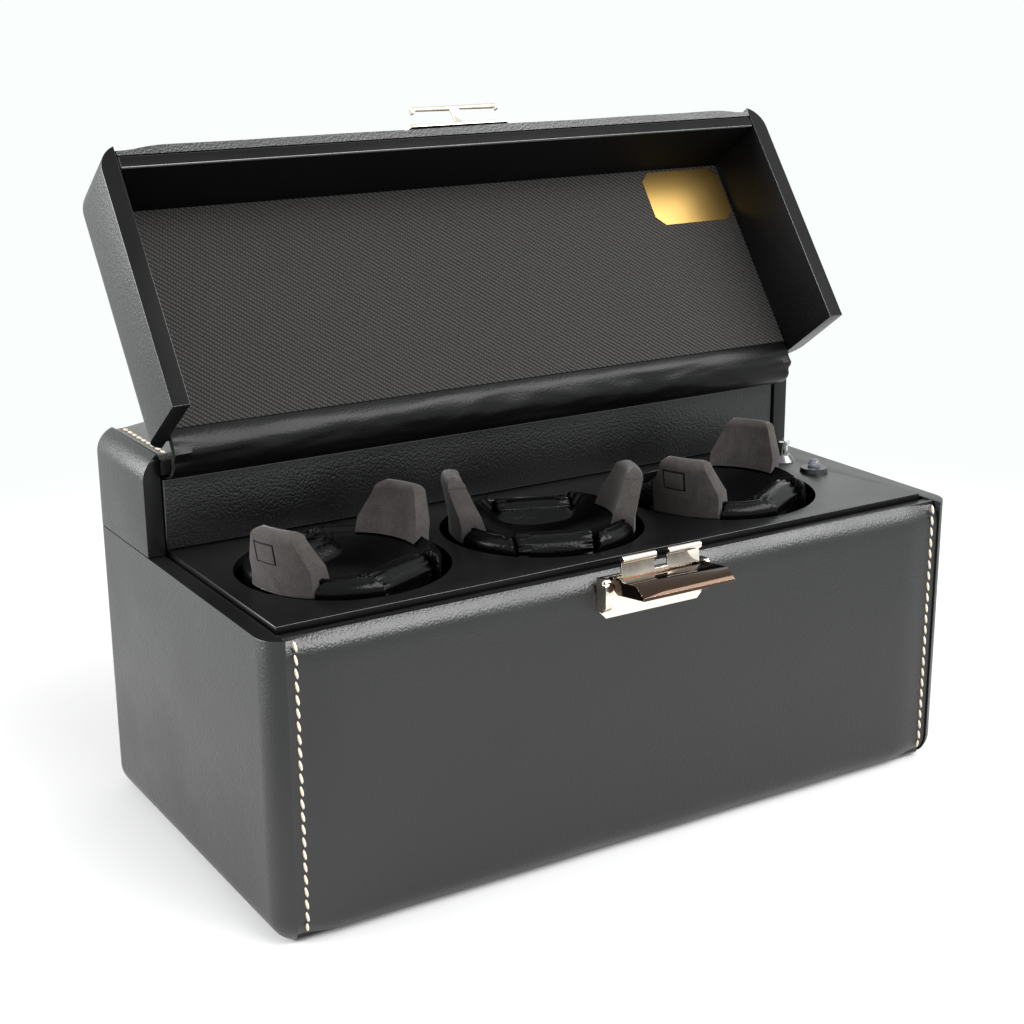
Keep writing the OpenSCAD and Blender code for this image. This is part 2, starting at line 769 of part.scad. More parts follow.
// Clear space in a leaf beside the other leaf's knuckles
module knuckle_gaps(first) {
  l = hinge_l / knuckles;
  for (k = [first:2:knuckles - 1])
    translate([-hinge_l / 2 + k * l - 0.15, axis_y, axis_z]) rotate([0, 90, 0])
      cylinder(r = knuckle_r + 0.4, h = l + 0.3);
}

module pin_bore() {
  translate([-hinge_l, axis_y, axis_z]) rotate([0, 90, 0])
    cylinder(r = hinge_pin_r + run_gap, h = 2 * hinge_l);
}

module hinge_leaf_base() {
  color("#3f3d3a") difference() {
    union() {
      difference() {
        translate([-hinge_l / 2, leaf_back - leaf_t, top_board_bot + 0.2])
          cube([hinge_l, leaf_t, axis_z - top_board_bot - 0.2]);
        knuckle_gaps(1);
      }
      knuckle_run(0);
    }
    pin_bore();
  }
}

module hinge_leaf_lid() {
  color("#3f3d3a") swung() difference() {
    union() {
      difference() {
        translate([-hinge_l / 2, leaf_front, lid_board_bot + 0.4])
          cube([hinge_l, leaf_t, axis_z - lid_board_bot - 0.4]);
        knuckle_gaps(0);
      }
      knuckle_run(1);
    }
    pin_bore();
  }
}

module hinge_pin() {
  color("#8c8a86") translate([-hinge_l / 2, axis_y, axis_z]) rotate([0, 90, 0])
    cylinder(r = hinge_pin_r, h = hinge_l);
}

// Where a point of the shut lid lies, seen from the side, once the lid stands open
function swung_point(y, z) = [
  axis_y + (y - axis_y) * cos(lid_open) + (z - axis_z) * sin(lid_open),
  axis_z - (y - axis_y) * sin(lid_open) + (z - axis_z) * cos(lid_open)
];

// Leather strip that closes the joint inside, bulging forward while the lid is open:
// it lies on the lid's board, folds over, and tucks in above the rear panel
module hinge_gusset() {
  slot_z = panel_top + 0.3;
  bend = [gusset_y + gusset_bend, slot_z + gusset_bend];
  fold_z = axis_z + 1.6;
  flap_front = lining_back + 0.2;
  flap_back = leaf_front + 0.3;
  flap_low = lid_board_bot - gusset_t;
  color("#1e1e20") rotate([90, 0, 90]) linear_extrude(2 * (panel_x - 0.6), center = true) {
    polygon([swung_point(flap_front, lid_board_bot), swung_point(flap_back, lid_board_bot),
             [gusset_y + gusset_t, fold_z], [gusset_y + gusset_t, bend[1] - 0.1],
             [gusset_y, bend[1] - 0.1], [gusset_y, fold_z + 0.4],
             swung_point(flap_back - 0.3, flap_low), swung_point(flap_front, flap_low)]);
    intersection() {
      translate(bend) difference() {
        circle(gusset_bend);
        circle(gusset_bend - gusset_t);
      }
      translate([gusset_y, slot_z]) square(gusset_bend);
    }
    translate([bend[0] - 0.1, slot_z]) square([panel_back - bend[0] + 0.1, gusset_t]);
  }
}

// ---- Lid, drawn shut ----

module lid_side_left() {
  color("#1c1c1e") swung() side_part(-1, lid_z, box_h + 1, front_y - 1, lid_back);
}

module lid_side_right() {
  color("#1c1c1e") swung() side_part(1, lid_z, box_h + 1, front_y - 1, lid_back);
}

// Front wall and top board of the lid
module lid_frame() {
  color("#202022") swung() intersection() {
    case_outline(2 * panel_x);
    union() {
      translate([-panel_x, front_y + pad_t, lid_z + 0.2])
        cube([2 * panel_x, board_t, top_board_top - lid_z - 0.2]);
      translate([-panel_x, front_y + pad_t, lid_board_bot])
        cube([2 * panel_x, leaf_front - front_y - pad_t, lid_board_t]);
    }
  }
}

module lid_front_pad() {
  color("#1a1a1c") swung() padded_panel(front_y, front_y + pad_t, lid_z, top_board_top, "front");
}

module lid_top_pad() {
  color("#1a1a1c") swung() padded_panel(front_y, leaf_front - 0.2, top_board_top, box_h, "top");
}

module lid_lining() {
  color("#4a4744") swung() translate([-panel_x, front_in, lining_bot])
    cube([2 * panel_x, lining_back - front_in, lining_t]);
}

// Bare foil plate with clipped corners in the lid's front right corner
module label_plate() {
  clip = 4;
  color("#c9a24a") swung()
    translate([panel_x - 1 - label_w, front_in + 1.2, lining_bot - 0.3]) linear_extrude(0.3)
      polygon([[clip, 0], [label_w - clip, 0], [label_w, clip], [label_w, label_d - clip],
               [label_w - clip, label_d], [clip, label_d], [0, label_d - clip], [0, clip]]);
}

// ---- Latch ----

// Profile pieces are drawn with X outward from the front and Y up, then run along X
module along_x(w) {
  translate([0, front_y, 0]) rotate([90, 0, -90]) linear_extrude(w, center = true) children();
}

module latch_housing() {
  z0 = seam_h - 0.4 - latch_h;
  color("#d8d0c4") difference() {
    union() {
      translate([0, front_y, z0]) rotate([90, 0, 0]) linear_extrude(housing_t)
        polygon([[-latch_w / 2 + 3, 0], [latch_w / 2 - 3, 0], [latch_w / 2, 3],
                 [latch_w / 2, latch_h], [-latch_w / 2, latch_h], [-latch_w / 2, 3]]);
      for (s = [-1, 1]) translate([s * (latch_w - ear_t) / 2, 0, 0]) along_x(ear_t)
        polygon([[0, z0 + 3], [3.4, z0 + 3], [5.8, z0 + 5.4], [5.8, pin_z - 1.4],
                 [4.4, z0 + latch_h], [0, z0 + latch_h]]);
    }
    translate([-latch_w, front_y - pin_u, pin_z]) rotate([0, 90, 0])
      cylinder(r = lever_pin_r, h = 2 * latch_w);
  }
}

module latch_pins() {
  color("#b8b0a6") for (s = [-1, 1])
    translate([s * (latch_w / 2 - ear_t / 2 - 1.2), front_y - pin_u, pin_z]) rotate([0, 90, 0])
      cylinder(r = lever_pin_r, h = ear_t + 1.6, center = true);
}

// The lever is drawn shut, hanging from its pins, and swung open
module lever_swing() {
  translate([0, front_y - pin_u, pin_z]) rotate([-lever_open, 0, 0])
    translate([0, -front_y + pin_u, -pin_z]) children();
}

// Side view of the lever: a wedge from the pin to the panel at its end
lever_knee = [pin_u + lever_d, pin_z - lever_l + lever_panel];
lever_end = [pin_u + lever_d - 0.95, pin_z - lever_l];
lever_neck = [pin_u + 3.2, pin_z - 3.4];

module lever_wedge() {
  polygon([[pin_u - 1.7, pin_z - 1], [pin_u + 1.8, pin_z - 0.2], lever_neck, lever_knee, lever_end,
           [lever_end[0] - lever_t, lever_end[1]], [pin_u + 1.2, pin_z - 9.6], [pin_u - 1.7, pin_z - 5]]);
  translate([pin_u, pin_z]) circle(1.9);
}

module latch_lever() {
  wall = 1.7;
  inward = lever_t * [-1.05, -0.19];
  color("#d8d0c4") lever_swing() difference() {
    union() {
      for (s = [-1, 1]) translate([s * (lever_w - wall) / 2, 0, 0]) along_x(wall) lever_wedge();
      along_x(lever_w - 0.2) polygon([lever_neck, lever_knee, lever_end,
        lever_end + inward, lever_knee + inward, lever_neck + inward]);
      translate([0, front_y - pin_u, pin_z - link_r]) rotate([0, 90, 0])
        cylinder(r = link_pin_r, h = lever_w - 0.4, center = true);
    }
    translate([-latch_w, front_y - pin_u, pin_z]) rotate([0, 90, 0])
      cylinder(r = lever_pin_r + run_gap, h = 2 * latch_w);
  }
}

// Slotted link whose two rolled tabs catch the T hook
module latch_link() {
  bu = pin_u + link_r * sin(lever_open);
  bz = pin_z - link_r * cos(lever_open);
  color("#dcd5ca") translate([0, front_y - bu, bz]) rotate([link_rest, 0, 0]) difference() {
    union() {
      rotate([0, 90, 0]) cylinder(r = barrel_link_r, h = link_w, center = true);
      translate([-link_w / 2, -link_t / 2, 0]) cube([link_w, link_t, link_l]);
      translate([0, -roll_r + link_t / 2, link_l]) rotate([0, 90, 0])
        cylinder(r = roll_r, h = link_w, center = true);
    }
    rotate([0, 90, 0]) cylinder(r = link_pin_r + run_gap, h = 2 * link_w, center = true);
    translate([-slot_w / 2, -10, link_l + roll_r - slot_l]) cube([slot_w, 20, 10]);
  }
}

// Plate and T hook on the lid's front
module catch_hook() {
  color("#d8d0c4") swung() {
    translate([0, front_y, catch_z]) rotate([90, 0, 0]) linear_extrude(catch_t)
      polygon([[-latch_w / 2 + 2, 0], [latch_w / 2 - 2, 0], [latch_w / 2, 2], [latch_w / 2, catch_h - 2],
               [latch_w / 2 - 2, catch_h], [-latch_w / 2 + 2, catch_h],
               [-latch_w / 2, catch_h - 2], [-latch_w / 2, 2]]);
    translate([0, front_y, hook_bar_z + hook_bar_h - neck_t]) linear_extrude(neck_t) polygon([
      [-neck_w / 2, 0.1 - catch_t], [-neck_w / 3, -catch_t - 1.2], [-neck_w / 3, 3 - hook_u],
      [-neck_w / 2, -hook_u - 0.1], [neck_w / 2, -hook_u - 0.1], [neck_w / 3, 3 - hook_u],
      [neck_w / 3, -catch_t - 1.2], [neck_w / 2, 0.1 - catch_t]]);
    translate([-t_bar_w / 2, front_y - hook_u - hook_t, hook_bar_z])
      cube([t_bar_w, hook_t, hook_bar_h]);
    // ends of the bar, bent back toward the plate
    for (s = [-1, 1]) translate([s * (t_bar_w - hook_t) / 2, front_y - hook_u, hook_bar_z + hook_bar_h / 2])
      cube([hook_t, 2, hook_bar_h], center = true);
  }
}

base_side_left();
base_side_right();
base_front_board();
base_front_pad();
base_back_panel();
base_bottom();
deck_frame();
deck_plate();
rear_cheek_left();
rear_cheek_right();
rear_front_panel();
rear_top_board();
rear_top_pad();
rear_back_panel();
motor_chassis();
gear_motors();
power_inlet();
circuit_board();
lamp_holder();
lamp_lens();
switch_body();
switch_button();
latch_housing();
latch_pins();
latch_lever();
latch_link();
hinge_leaf_base();
hinge_leaf_lid();
hinge_pin();
hinge_gusset();
lid_side_left();
lid_side_right();
lid_frame();
lid_front_pad();
lid_top_pad();
lid_lining();
label_plate();
catch_hook();
rotor_drum(0);  // left_rotor_drum
rotor_cushion(0);  // left_rotor_cushion
fixed_wing(0);  // left_fixed_wing
sliding_wing(0);  // left_sliding_wing
wing_button(0);  // left_wing_button
drive_gear(0);  // left_drive_gear
motor_pinion(0);  // left_motor_pinion
rotor_drum(1);  // middle_rotor_drum
rotor_cushion(1);  // middle_rotor_cushion
fixed_wing(1);  // middle_fixed_wing
sliding_wing(1);  // middle_sliding_wing
wing_button(1);  // middle_wing_button
drive_gear(1);  // middle_drive_gear
motor_pinion(1);  // middle_motor_pinion
rotor_drum(2);  // right_rotor_drum
rotor_cushion(2);  // right_rotor_cushion
fixed_wing(2);  // right_fixed_wing
sliding_wing(2);  // right_sliding_wing
wing_button(2);  // right_wing_button
drive_gear(2);  // right_drive_gear
motor_pinion(2);  // right_motor_pinion
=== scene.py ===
import math
import bmesh
import bpy
from mathutils import Matrix, Vector, noise


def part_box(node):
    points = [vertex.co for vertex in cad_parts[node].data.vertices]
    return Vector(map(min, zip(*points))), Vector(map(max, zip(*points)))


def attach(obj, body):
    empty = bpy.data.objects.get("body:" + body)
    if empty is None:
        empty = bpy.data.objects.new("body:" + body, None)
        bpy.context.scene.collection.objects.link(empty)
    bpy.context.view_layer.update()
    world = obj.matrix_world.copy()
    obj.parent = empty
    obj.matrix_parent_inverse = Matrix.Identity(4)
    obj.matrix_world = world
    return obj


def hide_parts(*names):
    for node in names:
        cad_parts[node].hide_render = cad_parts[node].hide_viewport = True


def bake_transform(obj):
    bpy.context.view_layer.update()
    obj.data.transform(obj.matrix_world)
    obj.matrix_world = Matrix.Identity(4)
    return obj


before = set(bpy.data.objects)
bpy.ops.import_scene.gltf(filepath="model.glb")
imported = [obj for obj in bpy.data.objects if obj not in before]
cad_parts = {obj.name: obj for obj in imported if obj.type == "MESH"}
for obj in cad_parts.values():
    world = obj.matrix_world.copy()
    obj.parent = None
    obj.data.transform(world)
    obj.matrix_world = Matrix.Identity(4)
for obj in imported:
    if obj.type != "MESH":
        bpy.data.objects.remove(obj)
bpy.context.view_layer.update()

# ---------------------------------------------------------------------------
# View and light. A short telephoto view from the front left, a little above the open lid,
# over a white table in a white room with three soft boxes.
scene = bpy.context.scene
scene.view_settings.view_transform = "Standard"

camera_at = Vector((-0.35133, -0.56202, 0.30901))
turn, tilt, roll = -0.54854, -0.29549, -0.00856
sensor_mm = 36
focal_px, frame_px = 1803.7, 1024
ahead = Vector((-math.sin(turn) * math.cos(tilt), math.cos(turn) * math.cos(tilt), math.sin(tilt)))
across = Vector((math.cos(turn), math.sin(turn), 0))
upward = across.cross(ahead)
right = math.cos(roll) * across + math.sin(roll) * upward
top = -math.sin(roll) * across + math.cos(roll) * upward
camera_data = bpy.data.cameras.new("camera")
camera_data.sensor_width = sensor_mm
camera_data.lens = sensor_mm * focal_px / frame_px
camera_data.clip_start = 0.01
camera = bpy.data.objects.new("camera", camera_data)
camera.matrix_world = Matrix((
    (right.x, top.x, -ahead.x, camera_at.x),
    (right.y, top.y, -ahead.y, camera_at.y),
    (right.z, top.z, -ahead.z, camera_at.z),
    (0, 0, 0, 1)))
scene.collection.objects.link(camera)
scene.camera = camera


def linear(code, alpha=1.0):
    """A hex colour such as #8a6a44, as Blender's linear numbers."""
    parts = [int(code[i:i + 2], 16) / 255 for i in (1, 3, 5)]
    return tuple(c / 12.92 if c < 0.04045 else ((c + 0.055) / 1.055) ** 2.4 for c in parts) + (alpha,)


def add(tree, kind, inputs=None, **settings):
    """A node with its settings, and its inputs as values or as other nodes' outputs."""
    node = tree.nodes.new(kind)
    for name, value in settings.items():
        setattr(node, name, value)
    for name, value in (inputs or {}).items():
        if isinstance(value, bpy.types.NodeSocket):
            tree.links.new(value, node.inputs[name])
        else:
            node.inputs[name].default_value = value
    return node


def new_material(name):
    """A material whose node tree is still empty."""
    material = bpy.data.materials.new(name)
    material.use_nodes = True
    material.node_tree.nodes.clear()
    return material


def finish_material(material, shader):
    """The material, with its shader joined to its output."""
    add(material.node_tree, "ShaderNodeOutputMaterial", {"Surface": shader.outputs[0]})
    return material


def dress(material, *nodes):
    """Gives CAD nodes, whose shapes stay as they are, a material."""
    for name in nodes:
        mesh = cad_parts[name].data
        mesh.materials.clear()
        mesh.materials.append(material)


def soft_box(name, at, aim, size, power):
    """A rectangular studio lamp at a point, turned to another."""
    data = bpy.data.lights.new(name, "AREA")
    data.shape = "RECTANGLE"
    data.size, data.size_y = size
    data.energy = power
    lamp = bpy.data.objects.new(name, data)
    lamp.location = at
    lamp.rotation_euler = (Vector(aim) - Vector(at)).to_track_quat("-Z", "Y").to_euler()
    scene.collection.objects.link(lamp)


soft_box("left", (-1.5, 0.75, 0.65), (0, 0, 0.1), (1.5, 1.1), 48)
soft_box("back", (0.9, 1.5, 0.9), (0, 0, 0.15), (1.8, 0.9), 3)
soft_box("front", (0.70, -1.05, 1.30), (0, 0, 0.1), (2.0, 0.9), 46)

room_white = (0.956, 0.99, 0.982, 1)


def rays_that_show(tree):
    """1 for rays that show the room itself: to the lens, and by way of metal, gloss or glass."""
    rays = add(tree, "ShaderNodeLightPath")
    mirrored = add(tree, "ShaderNodeMath", {0: rays.outputs["Is Camera Ray"],
                                            1: rays.outputs["Is Glossy Ray"]}, operation="MAXIMUM")
    return add(tree, "ShaderNodeMath", {0: mirrored.outputs[0],
                                        1: rays.outputs["Is Transmission Ray"]}, operation="MAXIMUM")


# The room: seen, reflected and looked through at full white, it lights the object less.
world = bpy.data.worlds.new("white room")
world.use_nodes = True
scene.world = world
tree = world.node_tree
tree.nodes.clear()
shown = rays_that_show(tree)
dim = add(tree, "ShaderNodeBackground", {"Color": (1, 1, 1, 1), "Strength": 0.55})
full = add(tree, "ShaderNodeBackground", {"Color": room_white, "Strength": 1.0})
mixed = add(tree, "ShaderNodeMixShader", {0: shown.outputs[0], 1: dim.outputs[0], 2: full.outputs[0]})
add(tree, "ShaderNodeOutputWorld", {"Surface": mixed.outputs[0]})

# White laminate table top. It carries the case's soft shadow, and from shadow_near to
# room_far from the middle it fades into the white room.
table_half = 6
shadow_near, room_far = 0.22, 0.55
bm = bmesh.new()
bmesh.ops.create_grid(bm, x_segments=1, y_segments=1, size=table_half)
mesh = bpy.data.meshes.new("table")
bm.to_mesh(mesh)
bm.free()
table = bpy.data.objects.new("table", mesh)
scene.collection.objects.link(table)
laminate = new_material("white laminate")
tree = laminate.node_tree
where = add(tree, "ShaderNodeTexCoord").outputs["Object"]
far = add(tree, "ShaderNodeVectorMath", {0: where}, operation="LENGTH")
fade = add(tree, "ShaderNodeMapRange", {"Value": far.outputs["Value"], "From Min": shadow_near,
                                        "From Max": room_far}, interpolation_type="SMOOTHSTEP")
matt = add(tree, "ShaderNodeBsdfDiffuse", {"Color": (0.72, 0.72, 0.72, 1)})
glow = add(tree, "ShaderNodeEmission", {"Color": room_white, "Strength": 0.12})
white = add(tree, "ShaderNodeEmission", {"Color": room_white, "Strength": 1.0})
lift = add(tree, "ShaderNodeAddShader", {0: matt.outputs[0], 1: glow.outputs[0]})
surface = add(tree, "ShaderNodeMixShader", {0: fade.outputs[0], 1: lift.outputs[0], 2: white.outputs[0]})
shown = rays_that_show(tree)
mixed = add(tree, "ShaderNodeMixShader", {0: shown.outputs[0], 1: matt.outputs[0], 2: surface.outputs[0]})
finish_material(laminate, mixed)
mesh.materials.append(laminate)

# ---------------------------------------------------------------------------
# Case panels. Fibreboard wrapped in split leather that is embossed with a fine pebble grain
# and finished semi-matt, so light spreads over it in soft broken highlights. The cut edges
# are burnished, and the rims are lined with a smoother leather or with suedette.
edge_r = 0.010
wrap_r = 0.0008


def leather(name, colour, grain_mm, relief_mm, roughness, bloom, shine=0.5):
    """Embossed leather: pebbles of grain_mm with soft furrows, over slow changes of sheen.
    The nap of suedette is finer than 0.5 mm, but is drawn that coarse so that it shows."""
    wobble_mm, crease_mm, patch_mm = 2.38, 10.5, 38.5
    wobble_m = 0.0009
    material = new_material(name)
    tree = material.node_tree
    where = add(tree, "ShaderNodeTexCoord").outputs["Object"]
    wobble = add(tree, "ShaderNodeTexNoise", {"Vector": where, "Scale": 1000 / wobble_mm, "Detail": 2.0})
    shift = add(tree, "ShaderNodeVectorMath", {0: wobble.outputs["Color"], 1: (wobble_m,) * 3},
                operation="MULTIPLY")
    bent = add(tree, "ShaderNodeVectorMath", {0: where, 1: shift.outputs[0]}, operation="ADD")
    pebble = add(tree, "ShaderNodeTexVoronoi", {"Vector": bent.outputs[0], "Scale": 1000 / grain_mm,
                                                "Smoothness": 0.35}, feature="SMOOTH_F1")
    crease = add(tree, "ShaderNodeTexNoise", {"Vector": where, "Scale": 1000 / crease_mm, "Detail": 4.0})
    relief = add(tree, "ShaderNodeMath", {0: crease.outputs["Fac"], 1: 0.5, 2: pebble.outputs["Distance"]},
                 operation="MULTIPLY_ADD")
    bump = add(tree, "ShaderNodeBump", {"Height": relief.outputs[0], "Strength": 0.9,
                                        "Distance": relief_mm / 1000})
    bump.invert = True
    patch = add(tree, "ShaderNodeTexNoise", {"Vector": where, "Scale": 1000 / patch_mm, "Detail": 3.0})
    rough = add(tree, "ShaderNodeMapRange", {
        "Value": patch.outputs["Fac"], "From Min": 0.3, "From Max": 0.7,
        "To Min": roughness - 0.05, "To Max": roughness + 0.06})
    tone = add(tree, "ShaderNodeMapRange", {
        "Value": pebble.outputs["Distance"], "From Min": 0.0, "From Max": 0.8,
        "To Min": 1.0, "To Max": 0.0})
    tint = add(tree, "ShaderNodeMix", {"Factor": tone.outputs[0], 6: linear(bloom), 7: linear(colour)},
               data_type="RGBA")
    skin = add(tree, "ShaderNodeBsdfPrincipled", {
        "Base Color": tint.outputs[2], "Roughness": rough.outputs[0], "Normal": bump.outputs[0],
        "IOR": 1.52, "Specular IOR Level": shine})
    return finish_material(material, skin)


case_leather = leather("pebbled case leather", "#0a0a0b", 0.85, 0.10, 0.36, "#101011", shine=0.58)
panel_leather = leather("coarse pebbled leather", "#08080a", 0.95, 0.17, 0.36, "#0d0d0f")


def make_piece(name, bm, material, body):
    """A finished bmesh as a piece that rides on a body, or on none."""
    mesh = bpy.data.meshes.new(name)
    bm.to_mesh(mesh)
    bm.free()
    for face in mesh.polygons:
        face.use_smooth = True
    mesh.set_sharp_from_angle(angle=math.radians(40))
    mesh.materials.append(material)
    piece = bpy.data.objects.new(name, mesh)
    scene.collection.objects.link(piece)
    if body:
        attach(piece, body)
    return piece


def edge_softened(node, radius, material, body, name=None, edge=None, rim=None, rim_way=None):
    """A board with its square edges broken, as leather or lacquer leaves them. Its edges and
    the faces that look along rim_way may have finishes of their own."""
    flat_angle, square_angle = math.radians(0.6), math.radians(45)
    bm = bmesh.new()
    bm.from_mesh(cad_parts[node].data)
    bmesh.ops.remove_doubles(bm, verts=bm.verts, dist=0.00001)
    bmesh.ops.dissolve_limit(bm, angle_limit=flat_angle, verts=bm.verts, edges=bm.edges)
    sharp = [e for e in bm.edges if e.is_manifold and e.calc_face_angle(0) > square_angle]
    broken = bmesh.ops.bevel(bm, geom=sharp, offset=radius, offset_type="OFFSET", segments=3, profile=0.5,
                             affect="EDGES", clamp_overlap=True, material=-1)
    finishes = [material]
    if rim:
        finishes.append(rim)
        for face in bm.faces:
            if face.normal.dot(Vector(rim_way)) > 0.8:
                face.material_index = 1
    if edge:
        for face in broken["faces"]:
            face.material_index = len(finishes)
        finishes.append(edge)
    piece = make_piece(name or node + ".wrapped", bm, material, body)
    for extra in finishes[1:]:
        piece.data.materials.append(extra)
    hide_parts(node)
    return piece


satin = leather("smooth lining leather", "#070708", 0.6, 0.03, 0.33, "#0a0a0b", shine=0.3)
burnished = leather("burnished leather edge", "#0c0c0d", 0.6, 0.02, 0.16, "#101011", shine=0.9)
suedette = leather("black suedette", "#030303", 0.5, 0.03, 0.6, "#050505", shine=0.12)
for part, body, rim, way in (("base_side", "case", satin, (0, 0, 1)),
                             ("rear_cheek", "case", satin, (0, -1, 0)),
                             ("lid_side", "lid", suedette, (0, -0.809, 0.588))):
    for hand in ("_left", "_right"):
        edge_softened(part + hand, wrap_r, case_leather, body,
                      edge=burnished, rim=rim, rim_way=way)
edge_softened("rear_front_panel", wrap_r, panel_leather, "case", edge=burnished)

# ---------------------------------------------------------------------------
# Padded panels. Foam under leather on the front, back and top; the leather is drawn down
# to a flat margin at each end, and sewn there with thick cream thread.
case_d, case_h = 0.158, 0.146
inner_x = 0.1385
pad_x = inner_x - 0.0003
crown = 0.0014
roll_in = 0.013
margin = 0.0046
pad_t, top_t, back_t = 0.0045, 0.003, 0.007
thread_at = 0.0031
stitch_l, stitch_pitch, stitch_lean = 0.0041, 0.0044, 13
thread_w, thread_t = 0.00060, 0.00052
hinge_at = Vector((0, 0.0205, 0.1472))
lid_open = 126
swing = (Matrix.Translation(hinge_at) @ Matrix.Rotation(math.radians(-lid_open), 4, "X")
         @ Matrix.Translation(-hinge_at))


def outward(y, z):
    """The direction that the case's outer surface faces at a point, seen from the side."""
    inner = Vector((min(max(y, edge_r - case_d / 2), case_d / 2 - edge_r),
                    min(max(z, edge_r), case_h - edge_r)))
    away = Vector((y, z)) - inner
    return away.normalized() if away.length > 1e-6 else Vector((0, 0))


def on_case(start, end, count):
    """Points round the case's outline, seen from the side, between two distances.
    Distance runs from the middle of the front upwards, over the top and down the back."""
    half_h = case_h / 2 - edge_r
    flat_top = case_d - 2 * edge_r
    arc = edge_r * math.pi / 2
    spots = []
    for k in range(count):
        s = start + (end - start) * k / (count - 1)
        mirrored, s = s < 0, abs(s)
        if s < half_h:
            y, z = -case_d / 2, case_h / 2 + s
        elif s < half_h + arc:
            a = (s - half_h) / edge_r
            y = edge_r - case_d / 2 - edge_r * math.cos(a)
            z = case_h - edge_r + edge_r * math.sin(a)
        elif s < half_h + arc + flat_top:
            y, z = edge_r - case_d / 2 + s - half_h - arc, case_h
        elif s < half_h + 2 * arc + flat_top:
            a = (s - half_h - arc - flat_top) / edge_r
            y = case_d / 2 - edge_r + edge_r * math.sin(a)
            z = case_h - edge_r + edge_r * math.cos(a)
        else:
            y, z = case_d / 2, case_h - edge_r - (s - half_h - 2 * arc - flat_top)
        spots.append((y, case_h - z if mirrored else z))
    return spots


# Waxed linen thread: the twisted plies mottle it and scatter the light.
ply_mm = 0.417
cream_thread = new_material("waxed cream thread")
tree = cream_thread.node_tree
where = add(tree, "ShaderNodeTexCoord").outputs["Object"]
ply = add(tree, "ShaderNodeTexNoise", {"Vector": where, "Scale": 1000 / ply_mm, "Detail": 2.0})
ply_bump = add(tree, "ShaderNodeBump", {"Height": ply.outputs["Fac"], "Strength": 0.5, "Distance": 0.0001})
shade = add(tree, "ShaderNodeMix", {"Factor": ply.outputs["Fac"], 6: linear("#d9cbb0"),
                                    7: linear("#f6ecd8")}, data_type="RGBA")
yarn = add(tree, "ShaderNodeBsdfPrincipled", {"Base Color": shade.outputs[2], "Roughness": 0.6,
                                              "Normal": ply_bump.outputs[0], "Sheen Weight": 0.2})
finish_material(cream_thread, yarn)


def sew(name, lines, body, opened):
    """Slanted stitches along lines of (point, direction, way out)."""
    bm = bmesh.new()
    for spots in lines:
        for at, along, out in spots:
            side = along.cross(out).normalized()
            slant = Matrix.Rotation(math.radians(stitch_lean), 4, out)
            pose = Matrix((
                (along.x, side.x, out.x, at.x),
                (along.y, side.y, out.y, at.y),
                (along.z, side.z, out.z, at.z),
                (0, 0, 0, 1)))
            made = bmesh.ops.create_uvsphere(bm, u_segments=8, v_segments=6, radius=1.0)
            bmesh.ops.scale(bm, verts=made["verts"], vec=(stitch_l / 2, thread_w, thread_t))
            turned = Matrix.Translation(at) @ slant @ Matrix.Translation(-at) @ pose
            bmesh.ops.transform(bm, matrix=turned, verts=made["verts"])
    if opened:
        bmesh.ops.transform(bm, matrix=swing, verts=bm.verts)
    return make_piece(name, bm, cream_thread, body)


def stitch_spots(start, end, x):
    """Where the stitches of one margin lie, between two distances round the case. They sink
    0.2 mm short of the crown's height, so that they rest on the flat margin."""
    count = int(abs(end - start) / stitch_pitch)
    spots = on_case(start, end, 2 * count + 1)
    found = []
    for k in range(1, 2 * count, 2):
        (y, z), (y0, z0), (y1, z1) = spots[k], spots[k - 1], spots[k + 1]
        n = outward(y, z)
        at = Vector((x, y - n.x * (crown - 0.0002), z - n.y * (crown - 0.0002)))
        found.append((at, Vector((0, y1 - y0, z1 - z0)).normalized(), Vector((0, n.x, n.y))))
    return found


def open_port(bm, x, z, rings):
    """A stepped round opening through a flat panel, along rings of (radius, y) from outside in."""
    clearing = rings[0][0] + 0.0039
    around = [f for f in bm.faces if abs(f.normal.y) > 0.9
              and math.hypot(f.calc_center_median().x - x, f.calc_center_median().z - z) < clearing]
    bmesh.ops.delete(bm, geom=around, context="FACES")
    cut = [e for e in bm.edges if e.is_boundary]
    loops = []
    for radius, y in rings:
        made = bmesh.ops.create_circle(bm, segments=48, radius=radius, matrix=(
            Matrix.Translation((x, y, z)) @ Matrix.Rotation(math.pi / 2, 4, "X")))
        loops.append(list({e for v in made["verts"] for e in v.link_edges}))
    for near, far in zip(loops, loops[1:]):
        bmesh.ops.bridge_loops(bm, edges=near + far)
    for loop, y in ((loops[0], rings[0][1]), (loops[-1], rings[-1][1])):
        level = [e for e in cut if abs(e.verts[0].co.y - y) < 0.001]
        bmesh.ops.triangle_fill(bm, edges=level + loop, use_beauty=True, normal=(0, 1, 0))


